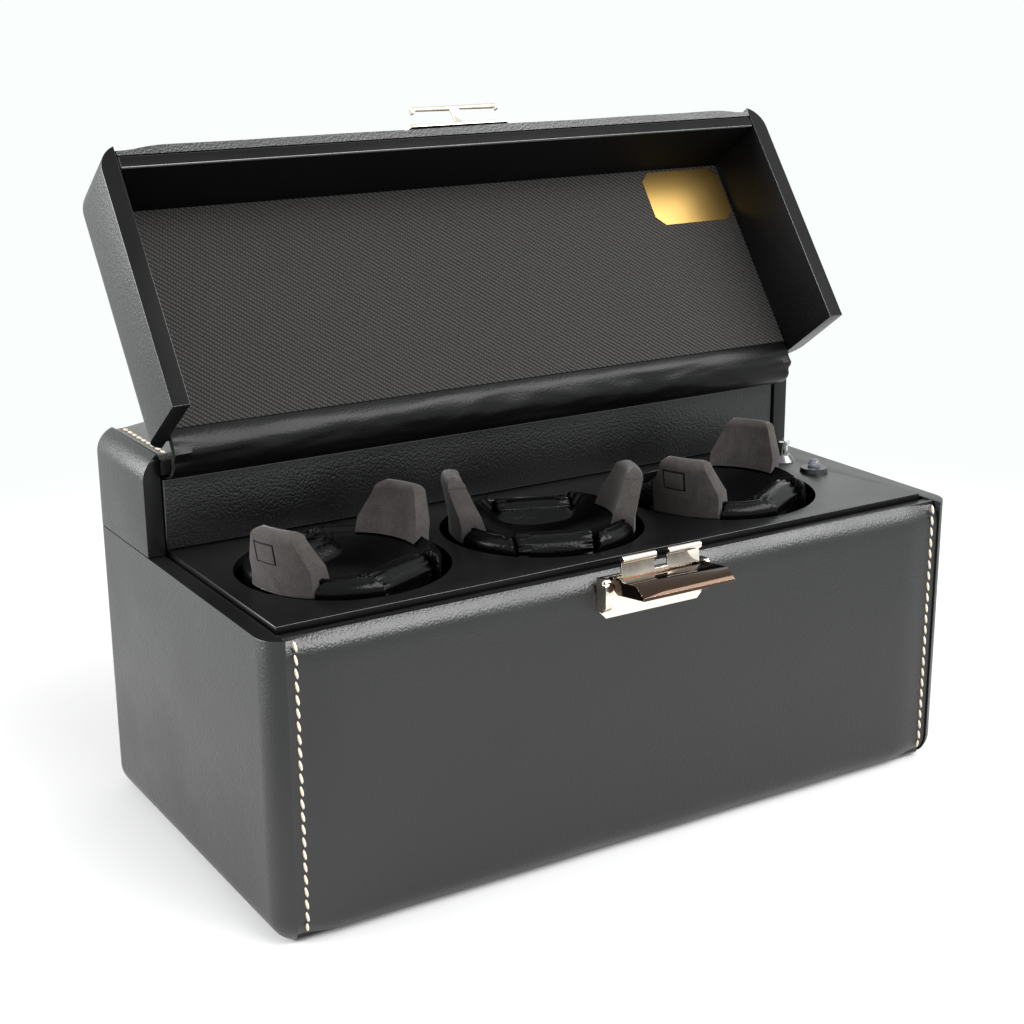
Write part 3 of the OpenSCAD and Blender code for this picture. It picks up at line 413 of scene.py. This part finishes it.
def padded_panel(node, start, end, depth, body, lip, opened=False, port=None):
    """Leather over foam between two distances round the case, depth thick. The leather sinks
    to its sewn margins at the sides, and rolls in over the lip at either end."""
    cell, strips = 0.003, 92
    swell_x, swell_s, swell_h, swell_most = 28, 40, 0.00022, 0.00012
    count = max(14, int(abs(end - start) / cell))
    outer = on_case(start, end, count)
    bm = bmesh.new()
    ring = [bm.verts.new((-pad_x, y, z)) for y, z in outer]
    inner = []
    for y, z in reversed(outer):
        n = outward(y, z)
        inner.append(bm.verts.new((-pad_x, y - n.x * depth, z - n.y * depth)))
    loop = ring + inner
    edges = [bm.edges.new((a, b)) for a, b in zip(loop, loop[1:] + loop[:1])]
    bmesh.ops.spin(bm, geom=loop + edges, angle=0, steps=strips, use_duplicate=False,
                   dvec=Vector((2 * pad_x / strips, 0, 0)))
    bmesh.ops.holes_fill(bm, edges=[e for e in bm.edges if e.is_boundary], sides=0)
    total = abs(end - start)
    along_case = {}
    for k, (y, z) in enumerate(outer):
        along_case[(round(y, 6), round(z, 6))] = k / (count - 1) * total
    for v in bm.verts:
        key = (round(v.co.y, 6), round(v.co.z, 6))
        if key not in along_case:
            continue
        s = along_case[key]
        n = outward(v.co.y, v.co.z)
        t = min(1.0, max(0.0, (pad_x - abs(v.co.x) - margin) / roll_in))
        drop = crown * (1 - math.sin(t * math.pi / 2))
        for gap, deep in ((s, lip[0]), (total - s, lip[1])):
            if deep and gap < 2 * deep:
                drop += deep * (1 - math.sqrt(max(0.0, 1 - (1 - gap / (2 * deep)) ** 2)))
        soft = noise.noise(Vector((v.co.x * swell_x, s * swell_s, 3.1 * depth))) * swell_h * t
        drop -= min(soft, swell_most)
        v.co -= Vector((0, n.x, n.y)) * drop
    bmesh.ops.recalc_face_normals(bm, faces=bm.faces)
    if port:
        open_port(bm, *port)
        bmesh.ops.recalc_face_normals(bm, faces=bm.faces)
    if opened:
        bmesh.ops.transform(bm, matrix=swing, verts=bm.verts)
    piece = make_piece(node + ".padded", bm, case_leather, body)
    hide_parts(node)
    lines = [stitch_spots(start + math.copysign(cell, end - start), end, x)
             for x in (-pad_x + thread_at, pad_x - thread_at)]
    sew(node + ".stitches", lines, body, opened)
    return piece


# Distances round the case: up the front, over its two round edges and down the back.
round_top = case_h / 2 - edge_r
bend = edge_r * math.pi / 2
top_run = case_d - 2 * edge_r
back_up = round_top + 2 * bend + top_run
port_lo, port_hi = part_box("power_inlet")
port_x, port_z = (port_lo.x + port_hi.x) / 2, (port_lo.z + port_hi.z) / 2
flange_hole, flange_sunk, barrel_hole = 0.0076, 0.00145, 0.0055
back_y = case_d / 2
padded_panel("base_front_pad", -(round_top + bend * 0.55), 0.1078 - case_h / 2, pad_t, "case",
             lip=(0, 0.0044))
padded_panel("base_back_panel", back_up + 0.0286, back_up + 2 * round_top + bend * 0.5, back_t, "case",
             lip=(0.002, 0),
             port=(port_x, port_z, ((flange_hole, back_y), (flange_hole, back_y - flange_sunk),
                                    (barrel_hole, back_y - flange_sunk), (barrel_hole, back_y - back_t))))
padded_panel("lid_front_pad", 0.1086 - case_h / 2, round_top + bend * 0.5, pad_t, "lid",
             lip=(0.0012, 0), opened=True)
padded_panel("lid_top_pad", round_top + bend * 0.5, round_top + bend + 0.0878, top_t, "lid",
             lip=(0, 0.002), opened=True)
padded_panel("rear_top_pad", round_top + bend + 0.0912, back_up - bend * 0.5, top_t, "case",
             lip=(0.002, 0))
padded_panel("rear_back_panel", back_up - bend * 0.5, back_up + 0.0272, back_t, "case",
             lip=(0, 0.002))

# ---------------------------------------------------------------------------
# Boards. The front board, the deck and the lid's frame are fibreboard under smooth leather
# or suedette, glued down flat, with burnished edges.
board_r, deck_r = 0.0006, 0.0009
edge_softened("base_front_board", board_r, satin, "case", edge=burnished)
edge_softened("deck_plate", deck_r, satin, "case", edge=burnished)
edge_softened("lid_frame", board_r, suedette, "lid", edge=burnished)

# ---------------------------------------------------------------------------
# Lid lining. Coarse wool-and-viscose twill glued to card; its ribs run at 40 degrees to the
# case's length, each a row of short beads where the weft floats over the warp.
rib_mm, bead_mm, fuzz_mm = 1.55, 1.1, 1.11
rib_way = -40
twill = new_material("wool twill")
tree = twill.node_tree
where = add(tree, "ShaderNodeTexCoord").outputs["Object"]
shut = add(tree, "ShaderNodeMapping", {"Vector": where, "Rotation": (math.radians(lid_open), 0, 0)})
laid = add(tree, "ShaderNodeMapping", {"Vector": shut.outputs[0],
                                       "Rotation": (0, 0, math.radians(rib_way))})
axes = add(tree, "ShaderNodeSeparateXYZ", {0: laid.outputs[0]})
fuzz = add(tree, "ShaderNodeTexNoise", {"Vector": where, "Scale": 1000 / fuzz_mm, "Detail": 3.0})
jitter = add(tree, "ShaderNodeMath", {0: fuzz.outputs["Fac"], 1: 0.22, 2: 0.0}, operation="MULTIPLY_ADD")
across_ribs = add(tree, "ShaderNodeMath", {0: axes.outputs["Y"], 1: 1000 / rib_mm, 2: jitter.outputs[0]},
                  operation="MULTIPLY_ADD")
rib = add(tree, "ShaderNodeMath", {0: across_ribs.outputs[0], 1: 0.5}, operation="PINGPONG")
row = add(tree, "ShaderNodeMath", {0: across_ribs.outputs[0]}, operation="FLOOR")
stagger = add(tree, "ShaderNodeMath", {0: row.outputs[0], 1: 0.37}, operation="MULTIPLY")
along_rib = add(tree, "ShaderNodeMath", {0: axes.outputs["X"], 1: 1000 / bead_mm, 2: stagger.outputs[0]},
                operation="MULTIPLY_ADD")
bead = add(tree, "ShaderNodeMath", {0: along_rib.outputs[0], 1: 0.5}, operation="PINGPONG")
height = add(tree, "ShaderNodeMath", {0: rib.outputs[0], 1: 2.0, 2: bead.outputs[0]},
             operation="MULTIPLY_ADD")
weave = add(tree, "ShaderNodeBump", {"Height": height.outputs[0], "Strength": 0.9, "Distance": 0.0005})
# The raised beads are painted lighter and the furrows between them near black: painted highlight and
# painted shade over the bump.
lit = add(tree, "ShaderNodeMapRange", {"Value": height.outputs[0], "From Min": 0.55, "From Max": 1.2,
                                       "To Min": 0.0, "To Max": 1.0})
yarn = add(tree, "ShaderNodeMix", {"Factor": lit.outputs[0], 6: linear("#010101"), 7: linear("#3b3834")},
           data_type="RGBA")
cloth = add(tree, "ShaderNodeBsdfPrincipled", {
    "Base Color": yarn.outputs[2], "Roughness": 0.85, "Normal": weave.outputs[0], "Sheen Weight": 0.25,
    "Sheen Roughness": 0.4})
finish_material(twill, cloth)
dress(twill, "lid_lining")

# ---------------------------------------------------------------------------
# Hinge gusset. A strip of soft glove leather glued under the lid's board and into the slot
# over the rear panel; open, it bulges forward and creases lengthways.
gusset_path = [
    (0.0268, 0.1370), (0.0235, 0.1370), (0.0205, 0.1371), (0.0178, 0.1378), (0.0156, 0.1392),
    (0.0142, 0.1412), (0.0134, 0.1436), (0.0131, 0.1462), (0.0132, 0.1486), (0.0138, 0.1507),
    (0.0147, 0.1524), (0.0156, 0.1535), (0.0166, 0.1544), (0.0175, 0.1551)]
gusset_end = inner_x - 0.0009
gusset_t = 0.0008
bulge_z, bulge_half = 0.1462, 0.0088
tuck_from, tuck_in = 0.129, 0.0007
strips = 220
bm = bmesh.new()
line = [bm.verts.new((-gusset_end, y, z)) for y, z in gusset_path]
edges = [bm.edges.new(pair) for pair in zip(line, line[1:])]
bmesh.ops.spin(bm, geom=line + edges, angle=0, steps=strips, use_duplicate=False,
               dvec=Vector((2 * gusset_end / strips, 0, 0)))
crosswise = [e for e in bm.edges if abs(e.verts[0].co.x - e.verts[1].co.x) < 1e-6]
bmesh.ops.subdivide_edges(bm, edges=crosswise, cuts=1, use_grid_fill=True, smooth=1.0)
for v in bm.verts:
    free = max(0.0, 1 - abs(v.co.z - bulge_z) / bulge_half)
    tuck = max(0.0, (abs(v.co.x) - tuck_from) / (gusset_end - tuck_from))
    fold = noise.noise(Vector((v.co.x * 14, v.co.z * 150, 1.3)))
    ripple = noise.noise(Vector((v.co.x * 70 + v.co.z * 120, v.co.z * 330, 4.7)))
    crease = abs(noise.noise(Vector((v.co.x * 42 - v.co.z * 70, v.co.z * 210, 9.1))))
    v.co.y -= free * (0.0006 + 0.0009 * fold + 0.0004 * ripple - 0.0010 * crease)
    v.co.y += free * tuck * tuck_in * math.sin(v.co.z * 1100)
    v.co.z += free * (0.0004 * noise.noise(Vector((v.co.x * 34, 8.2, v.co.z * 90))))
bmesh.ops.recalc_face_normals(bm, faces=bm.faces)
glove = leather("glove leather", "#060607", 0.8, 0.06, 0.36, "#09090a", shine=0.2)
gusset = make_piece("hinge_gusset.leather", bm, glove, None)
wall = gusset.modifiers.new("thickness", "SOLIDIFY")
wall.thickness = gusset_t
wall.offset = 0
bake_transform(gusset)
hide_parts("hinge_gusset")

# ---------------------------------------------------------------------------
# Rotor cushions. Calf leather with a bright finish, pulled over a dished foam ring, its
# inner edge folded and sewn; a firm leather roll lies in a notch at the front and back.
rotor_turn = {"left": 24, "middle": -22, "right": 30}
ring_r, seam_r, seam_w, seam_h = 0.0345, 0.0303, 0.0008, 0.0003
dish_ball, dish_low, dish_step = 0.0566, 0.1052, 0.0015
roll_y, roll_z, roll_r, roll_l = 0.022, 0.1070, 0.0068, 0.0290
roll_floor, pocket_floor, slot_floor, apron_z = 0.1034, 0.1076, 0.1010, 0.1110
fold_r, fold_at, fold_z, fold_drop = 0.00042, 0.0305, 0.11395, 0.0030
gathers, gather_h, lump_h, lumps_per_m = 62, 0.0003, 0.00025, 80
calf = leather("bright calf leather", "#030304", 0.7, 0.05, 0.21, "#050506", shine=0.13)
dish_path = [(r, dish_low + dish_ball - math.sqrt(dish_ball ** 2 - r ** 2))
             for r in (k * dish_step for k in range(17))]
rim_path = [
    (0.0250, 0.1110), (0.0256, 0.1113), (0.0262, 0.1116), (0.0267, 0.1119), (0.0271, 0.1121),
    (0.0275, 0.1123), (0.0280, 0.1126), (0.0286, 0.1130), (0.0292, 0.1134), (0.0297, 0.1137),
    (0.0301, 0.1138), (0.0305, 0.1138), (0.0309, 0.1138), (0.0312, 0.1137), (0.0316, 0.1136),
    (0.0321, 0.1135), (0.0326, 0.1132), (0.0331, 0.1128), (0.0336, 0.1123), (0.0340, 0.1117),
    (0.0343, 0.1111), (0.0345, 0.1098), (0.0345, 0.1086), (0.0345, 0.1072), (0.0345, 0.1055),
    (0.0345, 0.1036), (0.0344, 0.1020), (0.0343, 0.1006)]


def rotor_place(side):
    """From a rotor's own axes to the frame's: its gear's box gives the axis."""
    low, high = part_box(side + "_drive_gear")
    axis = Matrix.Translation(((low.x + high.x) / 2, (low.y + high.y) / 2, 0))
    return axis @ Matrix.Rotation(math.radians(rotor_turn[side]), 4, "Z")


def eased(value, low, high):
    """0 below low, 1 above high, with a soft start and stop between them."""
    t = min(1.0, max(0.0, (value - low) / (high - low)))
    return t * t * (3 - 2 * t)


def hollows(x, y):
    """How deep each hollow over a point of the ring goes, and how far it has opened there:
    the notch of a roll, the pocket of a wing's skirt, and the sliding wing's slot."""
    wing_travel = 0.004
    wing_side, pocket_wall = (0.0137, 0.0145), (0.0308, 0.0312)
    roll_end, roll_side = (0.0144, 0.0156), (0.0172, 0.0190)
    slot_end, slot_side = (0.0238, 0.0243), (0.0062, 0.0070)
    reach = math.hypot(x, y) if x > 0 else math.hypot(x - wing_travel, y)
    return ((roll_floor, (1 - eased(abs(x), *roll_end)) * eased(abs(y), *roll_side)),
            (pocket_floor, (1 - eased(abs(y), *wing_side)) * eased(reach, *pocket_wall)),
            (slot_floor, eased(-x, *slot_end) * (1 - eased(abs(y), *slot_side))))


nearly = 0.985  # a hollow stops just short of its floor
for side in rotor_turn:
    place = rotor_place(side)
    bm = bmesh.new()
    line = [bm.verts.new((r, 0, z)) for r, z in dish_path + rim_path]
    edges = [bm.edges.new(pair) for pair in zip(line, line[1:])]
    bmesh.ops.spin(bm, geom=line + edges, cent=(0, 0, 0), axis=(0, 0, 1), angle=2 * math.pi, steps=288,
                   use_merge=True)
    bmesh.ops.remove_doubles(bm, verts=bm.verts, dist=0.00002)
    for v in bm.verts:
        x, y = v.co.x, v.co.y
        radius, angle = math.hypot(x, y), math.atan2(y, x)
        beside_wing = eased(abs(y), 0.0138, 0.0150)
        seam = max(0.0, 1 - abs(radius - seam_r) / seam_w) * beside_wing
        gathered = (1 - eased(abs(x), 0.0150, 0.0215)) * eased(abs(y), 0.0150, 0.0240)
        apron = (1 - eased(abs(x), 0.0128, 0.0150)) * eased(abs(y), 0.0115, 0.0166)
        v.co.z += max(0.0, apron_z - v.co.z) * apron
        v.co.z += seam_h * seam + gathered * gather_h * math.sin(angle * gathers + 2 * radius / ring_r)
        lump = noise.noise(Vector((x * lumps_per_m, y * lumps_per_m, place.translation.x * 50)))
        v.co.z += lump_h * lump * eased(radius, 0.0, 0.006)
        for floor, opened in hollows(x, y):
            if v.co.z > floor:
                v.co.z -= (v.co.z - floor) * opened * nearly
    bmesh.ops.recalc_face_normals(bm, faces=bm.faces)
    bmesh.ops.transform(bm, matrix=place, verts=bm.verts)
    ring = make_piece(side + "_rotor_cushion.leather", bm, calf, side + "_rotor")
    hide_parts(side + "_rotor_cushion")

    # The folded edge of the leather, an arc in each quarter between a wing and a roll.
    wing_gap, roll_gap, gap_at = 0.0136, 0.0146, 0.0275
    bm = bmesh.new()
    for mirror_x in (-1, 1):
        for mirror_y in (-1, 1):
            start_at = math.atan2(wing_gap * mirror_y, gap_at * mirror_x)
            stop_at = math.atan2(gap_at * mirror_y, roll_gap * mirror_x)
            made = bmesh.ops.create_circle(bm, segments=10, radius=fold_r)
            bmesh.ops.transform(bm, verts=made["verts"], matrix=(
                Matrix.Rotation(start_at, 4, "Z") @ Matrix.Translation((fold_at, 0, fold_z))
                @ Matrix.Rotation(math.pi / 2, 4, "X")))
            rim = list({e for v in made["verts"] for e in v.link_edges})
            bmesh.ops.spin(bm, geom=made["verts"] + rim, cent=(0, 0, 0), axis=(0, 0, 1), steps=22,
                           angle=stop_at - start_at, use_duplicate=False)
    for v in bm.verts:
        curl = 1 - eased(abs(v.co.x), roll_gap, 0.0190)
        v.co.z -= fold_drop * curl
        v.co.x *= 1 + 0.03 * curl
        v.co.y *= 1 + 0.09 * curl
        v.co.z += 0.0002 * noise.noise(v.co * 300)
    bmesh.ops.holes_fill(bm, edges=[e for e in bm.edges if e.is_boundary], sides=0)
    bmesh.ops.recalc_face_normals(bm, faces=bm.faces)
    bmesh.ops.transform(bm, matrix=place, verts=bm.verts)
    make_piece(side + "_cushion_folds", bm, calf, side + "_rotor")

    # The two rolls: a tube of leather whose ends are gathered in and tucked under.
    for end in (-1, 1):
        half, soft = roll_l / 2, 0.0017
        cap = [(half - soft + soft * math.sin(a), roll_r - soft + soft * math.cos(a))
               for a in (0.0, 0.3, 0.6, 0.9, 1.2, 1.5)] + [(half - 0.0004, 0.0036), (half - 0.0009, 0.0020)]
        body_line = [(half * t, roll_r)
                     for t in (-0.78, -0.68, -0.55, -0.35, -0.12, 0.12, 0.35, 0.55, 0.68, 0.78)]
        profile = ([(0.0015 - half, 0.0)] + [(-x, r) for x, r in reversed(cap)] + body_line
                   + cap + [(half - 0.0015, 0.0)])
        bm = bmesh.new()
        line = [bm.verts.new((x, r, 0)) for x, r in profile]
        edges = [bm.edges.new(pair) for pair in zip(line, line[1:])]
        bmesh.ops.spin(bm, geom=line + edges, cent=(0, 0, 0), axis=(1, 0, 0), angle=2 * math.pi, steps=96,
                       use_merge=True)
        bmesh.ops.remove_doubles(bm, verts=bm.verts, dist=0.00002)
        for v in bm.verts:
            round_it = math.atan2(v.co.z, v.co.y)
            gather = eased(abs(v.co.x), 0.0078, 0.0130)
            swell = 1 + 0.050 * gather * math.sin(round_it * 16) - 0.025 * gather
            swell += 0.010 * noise.noise(Vector((v.co.x * 120, v.co.y * 120, v.co.z * 120 + end)))
            v.co.y *= swell
            v.co.z *= swell
        bmesh.ops.recalc_face_normals(bm, faces=bm.faces)
        laid = place @ Matrix.Translation((0, end * roll_y, roll_z))
        bmesh.ops.transform(bm, matrix=laid, verts=bm.verts)
        roll_piece = make_piece(f"{side}_bolster_{'back' if end > 0 else 'front'}", bm, calf,
                                side + "_rotor")

# ---------------------------------------------------------------------------
# Cuffs. Moulded ABS wings flocked with dark grey nylon, so they look like suede; the nap is
# drawn coarser than the real fibres, so that it shows. The release button is set into the
# sliding wing, and a dark joint runs round it.
wing_round, button_round = 0.0014, 0.0005
nap_mm, stroke_mm = 0.3125, 6.25
flock = new_material("suede flock")
tree = flock.node_tree
where = add(tree, "ShaderNodeTexCoord").outputs["Object"]
nap = add(tree, "ShaderNodeTexNoise", {"Vector": where, "Scale": 1000 / nap_mm, "Detail": 2.0})
stroke = add(tree, "ShaderNodeTexNoise", {"Vector": where, "Scale": 1000 / stroke_mm, "Detail": 4.0,
                                          "Distortion": 0.8})
blend_nap = add(tree, "ShaderNodeMath", {0: stroke.outputs["Fac"], 1: 0.55, 2: nap.outputs["Fac"]},
                operation="MULTIPLY_ADD")
shade = add(tree, "ShaderNodeMapRange", {"Value": blend_nap.outputs[0], "From Min": 0.5, "From Max": 1.05,
                                         "To Min": 0.0, "To Max": 1.0})
tint = add(tree, "ShaderNodeMix", {"Factor": shade.outputs[0], 6: linear("#2f2d2c"), 7: linear("#504c4a")},
           data_type="RGBA")
nap_bump = add(tree, "ShaderNodeBump", {"Height": nap.outputs["Fac"], "Strength": 0.5, "Distance": 0.0002})
fibre = add(tree, "ShaderNodeBsdfPrincipled", {
    "Base Color": tint.outputs[2], "Roughness": 0.95, "Normal": nap_bump.outputs[0], "Sheen Weight": 0.35,
    "Sheen Roughness": 0.35, "Specular IOR Level": 0.2})
finish_material(flock, fibre)

for side in rotor_turn:
    for part, body, radius, edge in (("_wing_button", "_button", button_round, suedette),
                                     ("_fixed_wing", "_rotor", wing_round, None),
                                     ("_sliding_wing", "_wing", wing_round, None)):
        edge_softened(side + part, radius, flock, side + body, side + part + ".flocked", edge)

# ---------------------------------------------------------------------------
# Latch and catch. Stamped and pressed brass, polished and plated pale gold nickel. The lever's
# faces are painted dark, a painted reflection of a dark surround in the nickel, which leaves its edges
# bright.
plate_round, lever_round = 0.00022, 0.00045


def plated(name, colour, wipe_mm, smooth, dull):
    """Polished plate with a faint haze of finger wipes, each about wipe_mm wide."""
    material = new_material(name)
    tree = material.node_tree
    where = add(tree, "ShaderNodeTexCoord").outputs["Object"]
    haze = add(tree, "ShaderNodeTexNoise", {"Vector": where, "Scale": 1000 / wipe_mm, "Detail": 4.0})
    wipe = add(tree, "ShaderNodeMapRange", {"Value": haze.outputs["Fac"], "From Min": 0.35, "From Max": 0.7,
                                            "To Min": smooth, "To Max": dull})
    metal = add(tree, "ShaderNodeBsdfPrincipled", {"Base Color": linear(colour), "Metallic": 1.0,
                                                   "Roughness": wipe.outputs[0]})
    return finish_material(material, metal)


nickel = plated("pale gold nickel", "#f0e7da", 4.17, 0.04, 0.10)
# The lever's faces: nickel coloured dark as a painted reflection, not a finish of its own.
painted_reflection_nickel = plated("nickel painted with a dark reflection", "#46382f", 4.17, 0.06, 0.12)
for node, body in (("latch_housing", "case"), ("latch_link", "latch_link"), ("catch_hook", "lid")):
    edge_softened(node, plate_round, nickel, body)
edge_softened("latch_lever", lever_round, painted_reflection_nickel, "latch_lever", edge=nickel)
dress(nickel, "latch_pins")

# ---------------------------------------------------------------------------
# Label plate. Satin gold foil on card, glued into the lid's corner and left bare. Its satin
# spreads the reflection of the room to a soft glow, a little uneven from place to place.
uneven_mm = 1.43
foil = new_material("satin gold foil")
tree = foil.node_tree
where = add(tree, "ShaderNodeTexCoord").outputs["Object"]
uneven = add(tree, "ShaderNodeTexNoise", {"Vector": where, "Scale": 1000 / uneven_mm, "Detail": 3.0})
soft = add(tree, "ShaderNodeMapRange", {"Value": uneven.outputs["Fac"], "To Min": 0.28, "To Max": 0.42})
metal = add(tree, "ShaderNodeBsdfPrincipled", {"Base Color": linear("#927640"), "Metallic": 0.85,
                                               "Roughness": soft.outputs[0]})
finish_material(foil, metal)
dress(foil, "label_plate")

# ---------------------------------------------------------------------------
# Switch, lamp and inlet. The push switch has a chromed cap on a collar of black nickel, and
# the lamp a clear lens in a moulded bezel; the power inlet is moulded from the same ABS. The
# mould's spark-eroded grain is drawn coarser than it is, so that it shows.
mould_mm, ripple_mm = 0.556, 1.11
dress(plated("chromed brass", "#d9d9d9", 2.0, 0.07, 0.14), "switch_button")
dress(plated("black nickel", "#6a696b", 2.0, 0.18, 0.28), "switch_body")
moulded = new_material("black ABS")
tree = moulded.node_tree
where = add(tree, "ShaderNodeTexCoord").outputs["Object"]
grain = add(tree, "ShaderNodeTexNoise", {"Vector": where, "Scale": 1000 / mould_mm, "Detail": 2.0})
grain_bump = add(tree, "ShaderNodeBump", {"Height": grain.outputs["Fac"], "Strength": 0.2,
                                          "Distance": 0.0001})
abs_plastic = add(tree, "ShaderNodeBsdfPrincipled", {"Base Color": linear("#0d0d0e"), "Roughness": 0.32,
                                                     "Normal": grain_bump.outputs[0]})
finish_material(moulded, abs_plastic)
dress(moulded, "lamp_holder", "power_inlet")
lens = new_material("clear acrylic lens")
tree = lens.node_tree
where = add(tree, "ShaderNodeTexCoord").outputs["Object"]
ripple = add(tree, "ShaderNodeTexNoise", {"Vector": where, "Scale": 1000 / ripple_mm})
ripple_bump = add(tree, "ShaderNodeBump", {"Height": ripple.outputs["Fac"], "Strength": 0.1,
                                           "Distance": 0.0001})
acrylic = add(tree, "ShaderNodeBsdfPrincipled", {
    "Base Color": linear("#dfe6ee"), "Roughness": 0.06, "IOR": 1.49, "Transmission Weight": 0.85,
    "Normal": ripple_bump.outputs[0]})
finish_material(lens, acrylic)
dress(lens, "lamp_lens")

# ---------------------------------------------------------------------------
# Works. Stained birch ply ring and top board, painted steel chassis, acetal gears, brass
# pinions, a fibreglass circuit board, and gear motors painted near black as painted shade,
# so that they stay dark in the gap between the rotors. Each has a light and a dark tone that
# run in streaks along X, then how metallic and how rough it is.
streak_mm = (16.7, 1.43, 3.33)
works = {
    "black-stained plywood": ("#0e0d0c", "#080706", 0.0, 0.7, ("deck_frame", "rear_top_board")),
    "painted chassis steel": ("#3b3e42", "#2c2e31", 0.0, 0.45, ("motor_chassis",)),
    # The gear motors' near black is painted shade for the gap between the rotors.
    "motor steel painted dark as shade": ("#18181a", "#0f0f10", 0.0, 0.5, ("gear_motors",)),
    "blackened hinge steel": ("#3a3733", "#26241f", 0.8, 0.4,
                              ("hinge_leaf_base", "hinge_leaf_lid", "hinge_pin")),
    "covered fibreboard": ("#1b1b1c", "#131314", 0.0, 0.7, ("base_bottom",)),
    "solder mask": ("#1c5a38", "#12402a", 0.0, 0.35, ("circuit_board",)),
    "moulded drum": ("#121213", "#0c0c0d", 0.0, 0.4, tuple(s + "_rotor_drum" for s in rotor_turn)),
    "natural acetal": ("#dcd3bd", "#c9bfa6", 0.0, 0.4, tuple(s + "_drive_gear" for s in rotor_turn)),
    "cut brass": ("#c9a04c", "#a27c34", 0.9, 0.3, tuple(s + "_motor_pinion" for s in rotor_turn)),
}
for name, (light, dark, metallic, roughness, nodes) in works.items():
    material = new_material(name)
    tree = material.node_tree
    where = add(tree, "ShaderNodeTexCoord").outputs["Object"]
    streak = add(tree, "ShaderNodeMapping", {"Vector": where, "Scale": [1000 / mm for mm in streak_mm]})
    grain = add(tree, "ShaderNodeTexNoise", {"Vector": streak.outputs[0], "Scale": 1.0, "Detail": 4.0})
    tone = add(tree, "ShaderNodeMix", {"Factor": grain.outputs["Fac"], 6: linear(light), 7: linear(dark)},
               data_type="RGBA")
    relief = add(tree, "ShaderNodeBump", {"Height": grain.outputs["Fac"], "Strength": 0.25,
                                          "Distance": 0.0001})
    finish_material(material, add(tree, "ShaderNodeBsdfPrincipled", {
        "Base Color": tone.outputs[2], "Metallic": metallic, "Roughness": roughness,
        "Normal": relief.outputs[0]}))
    dress(material, *nodes)
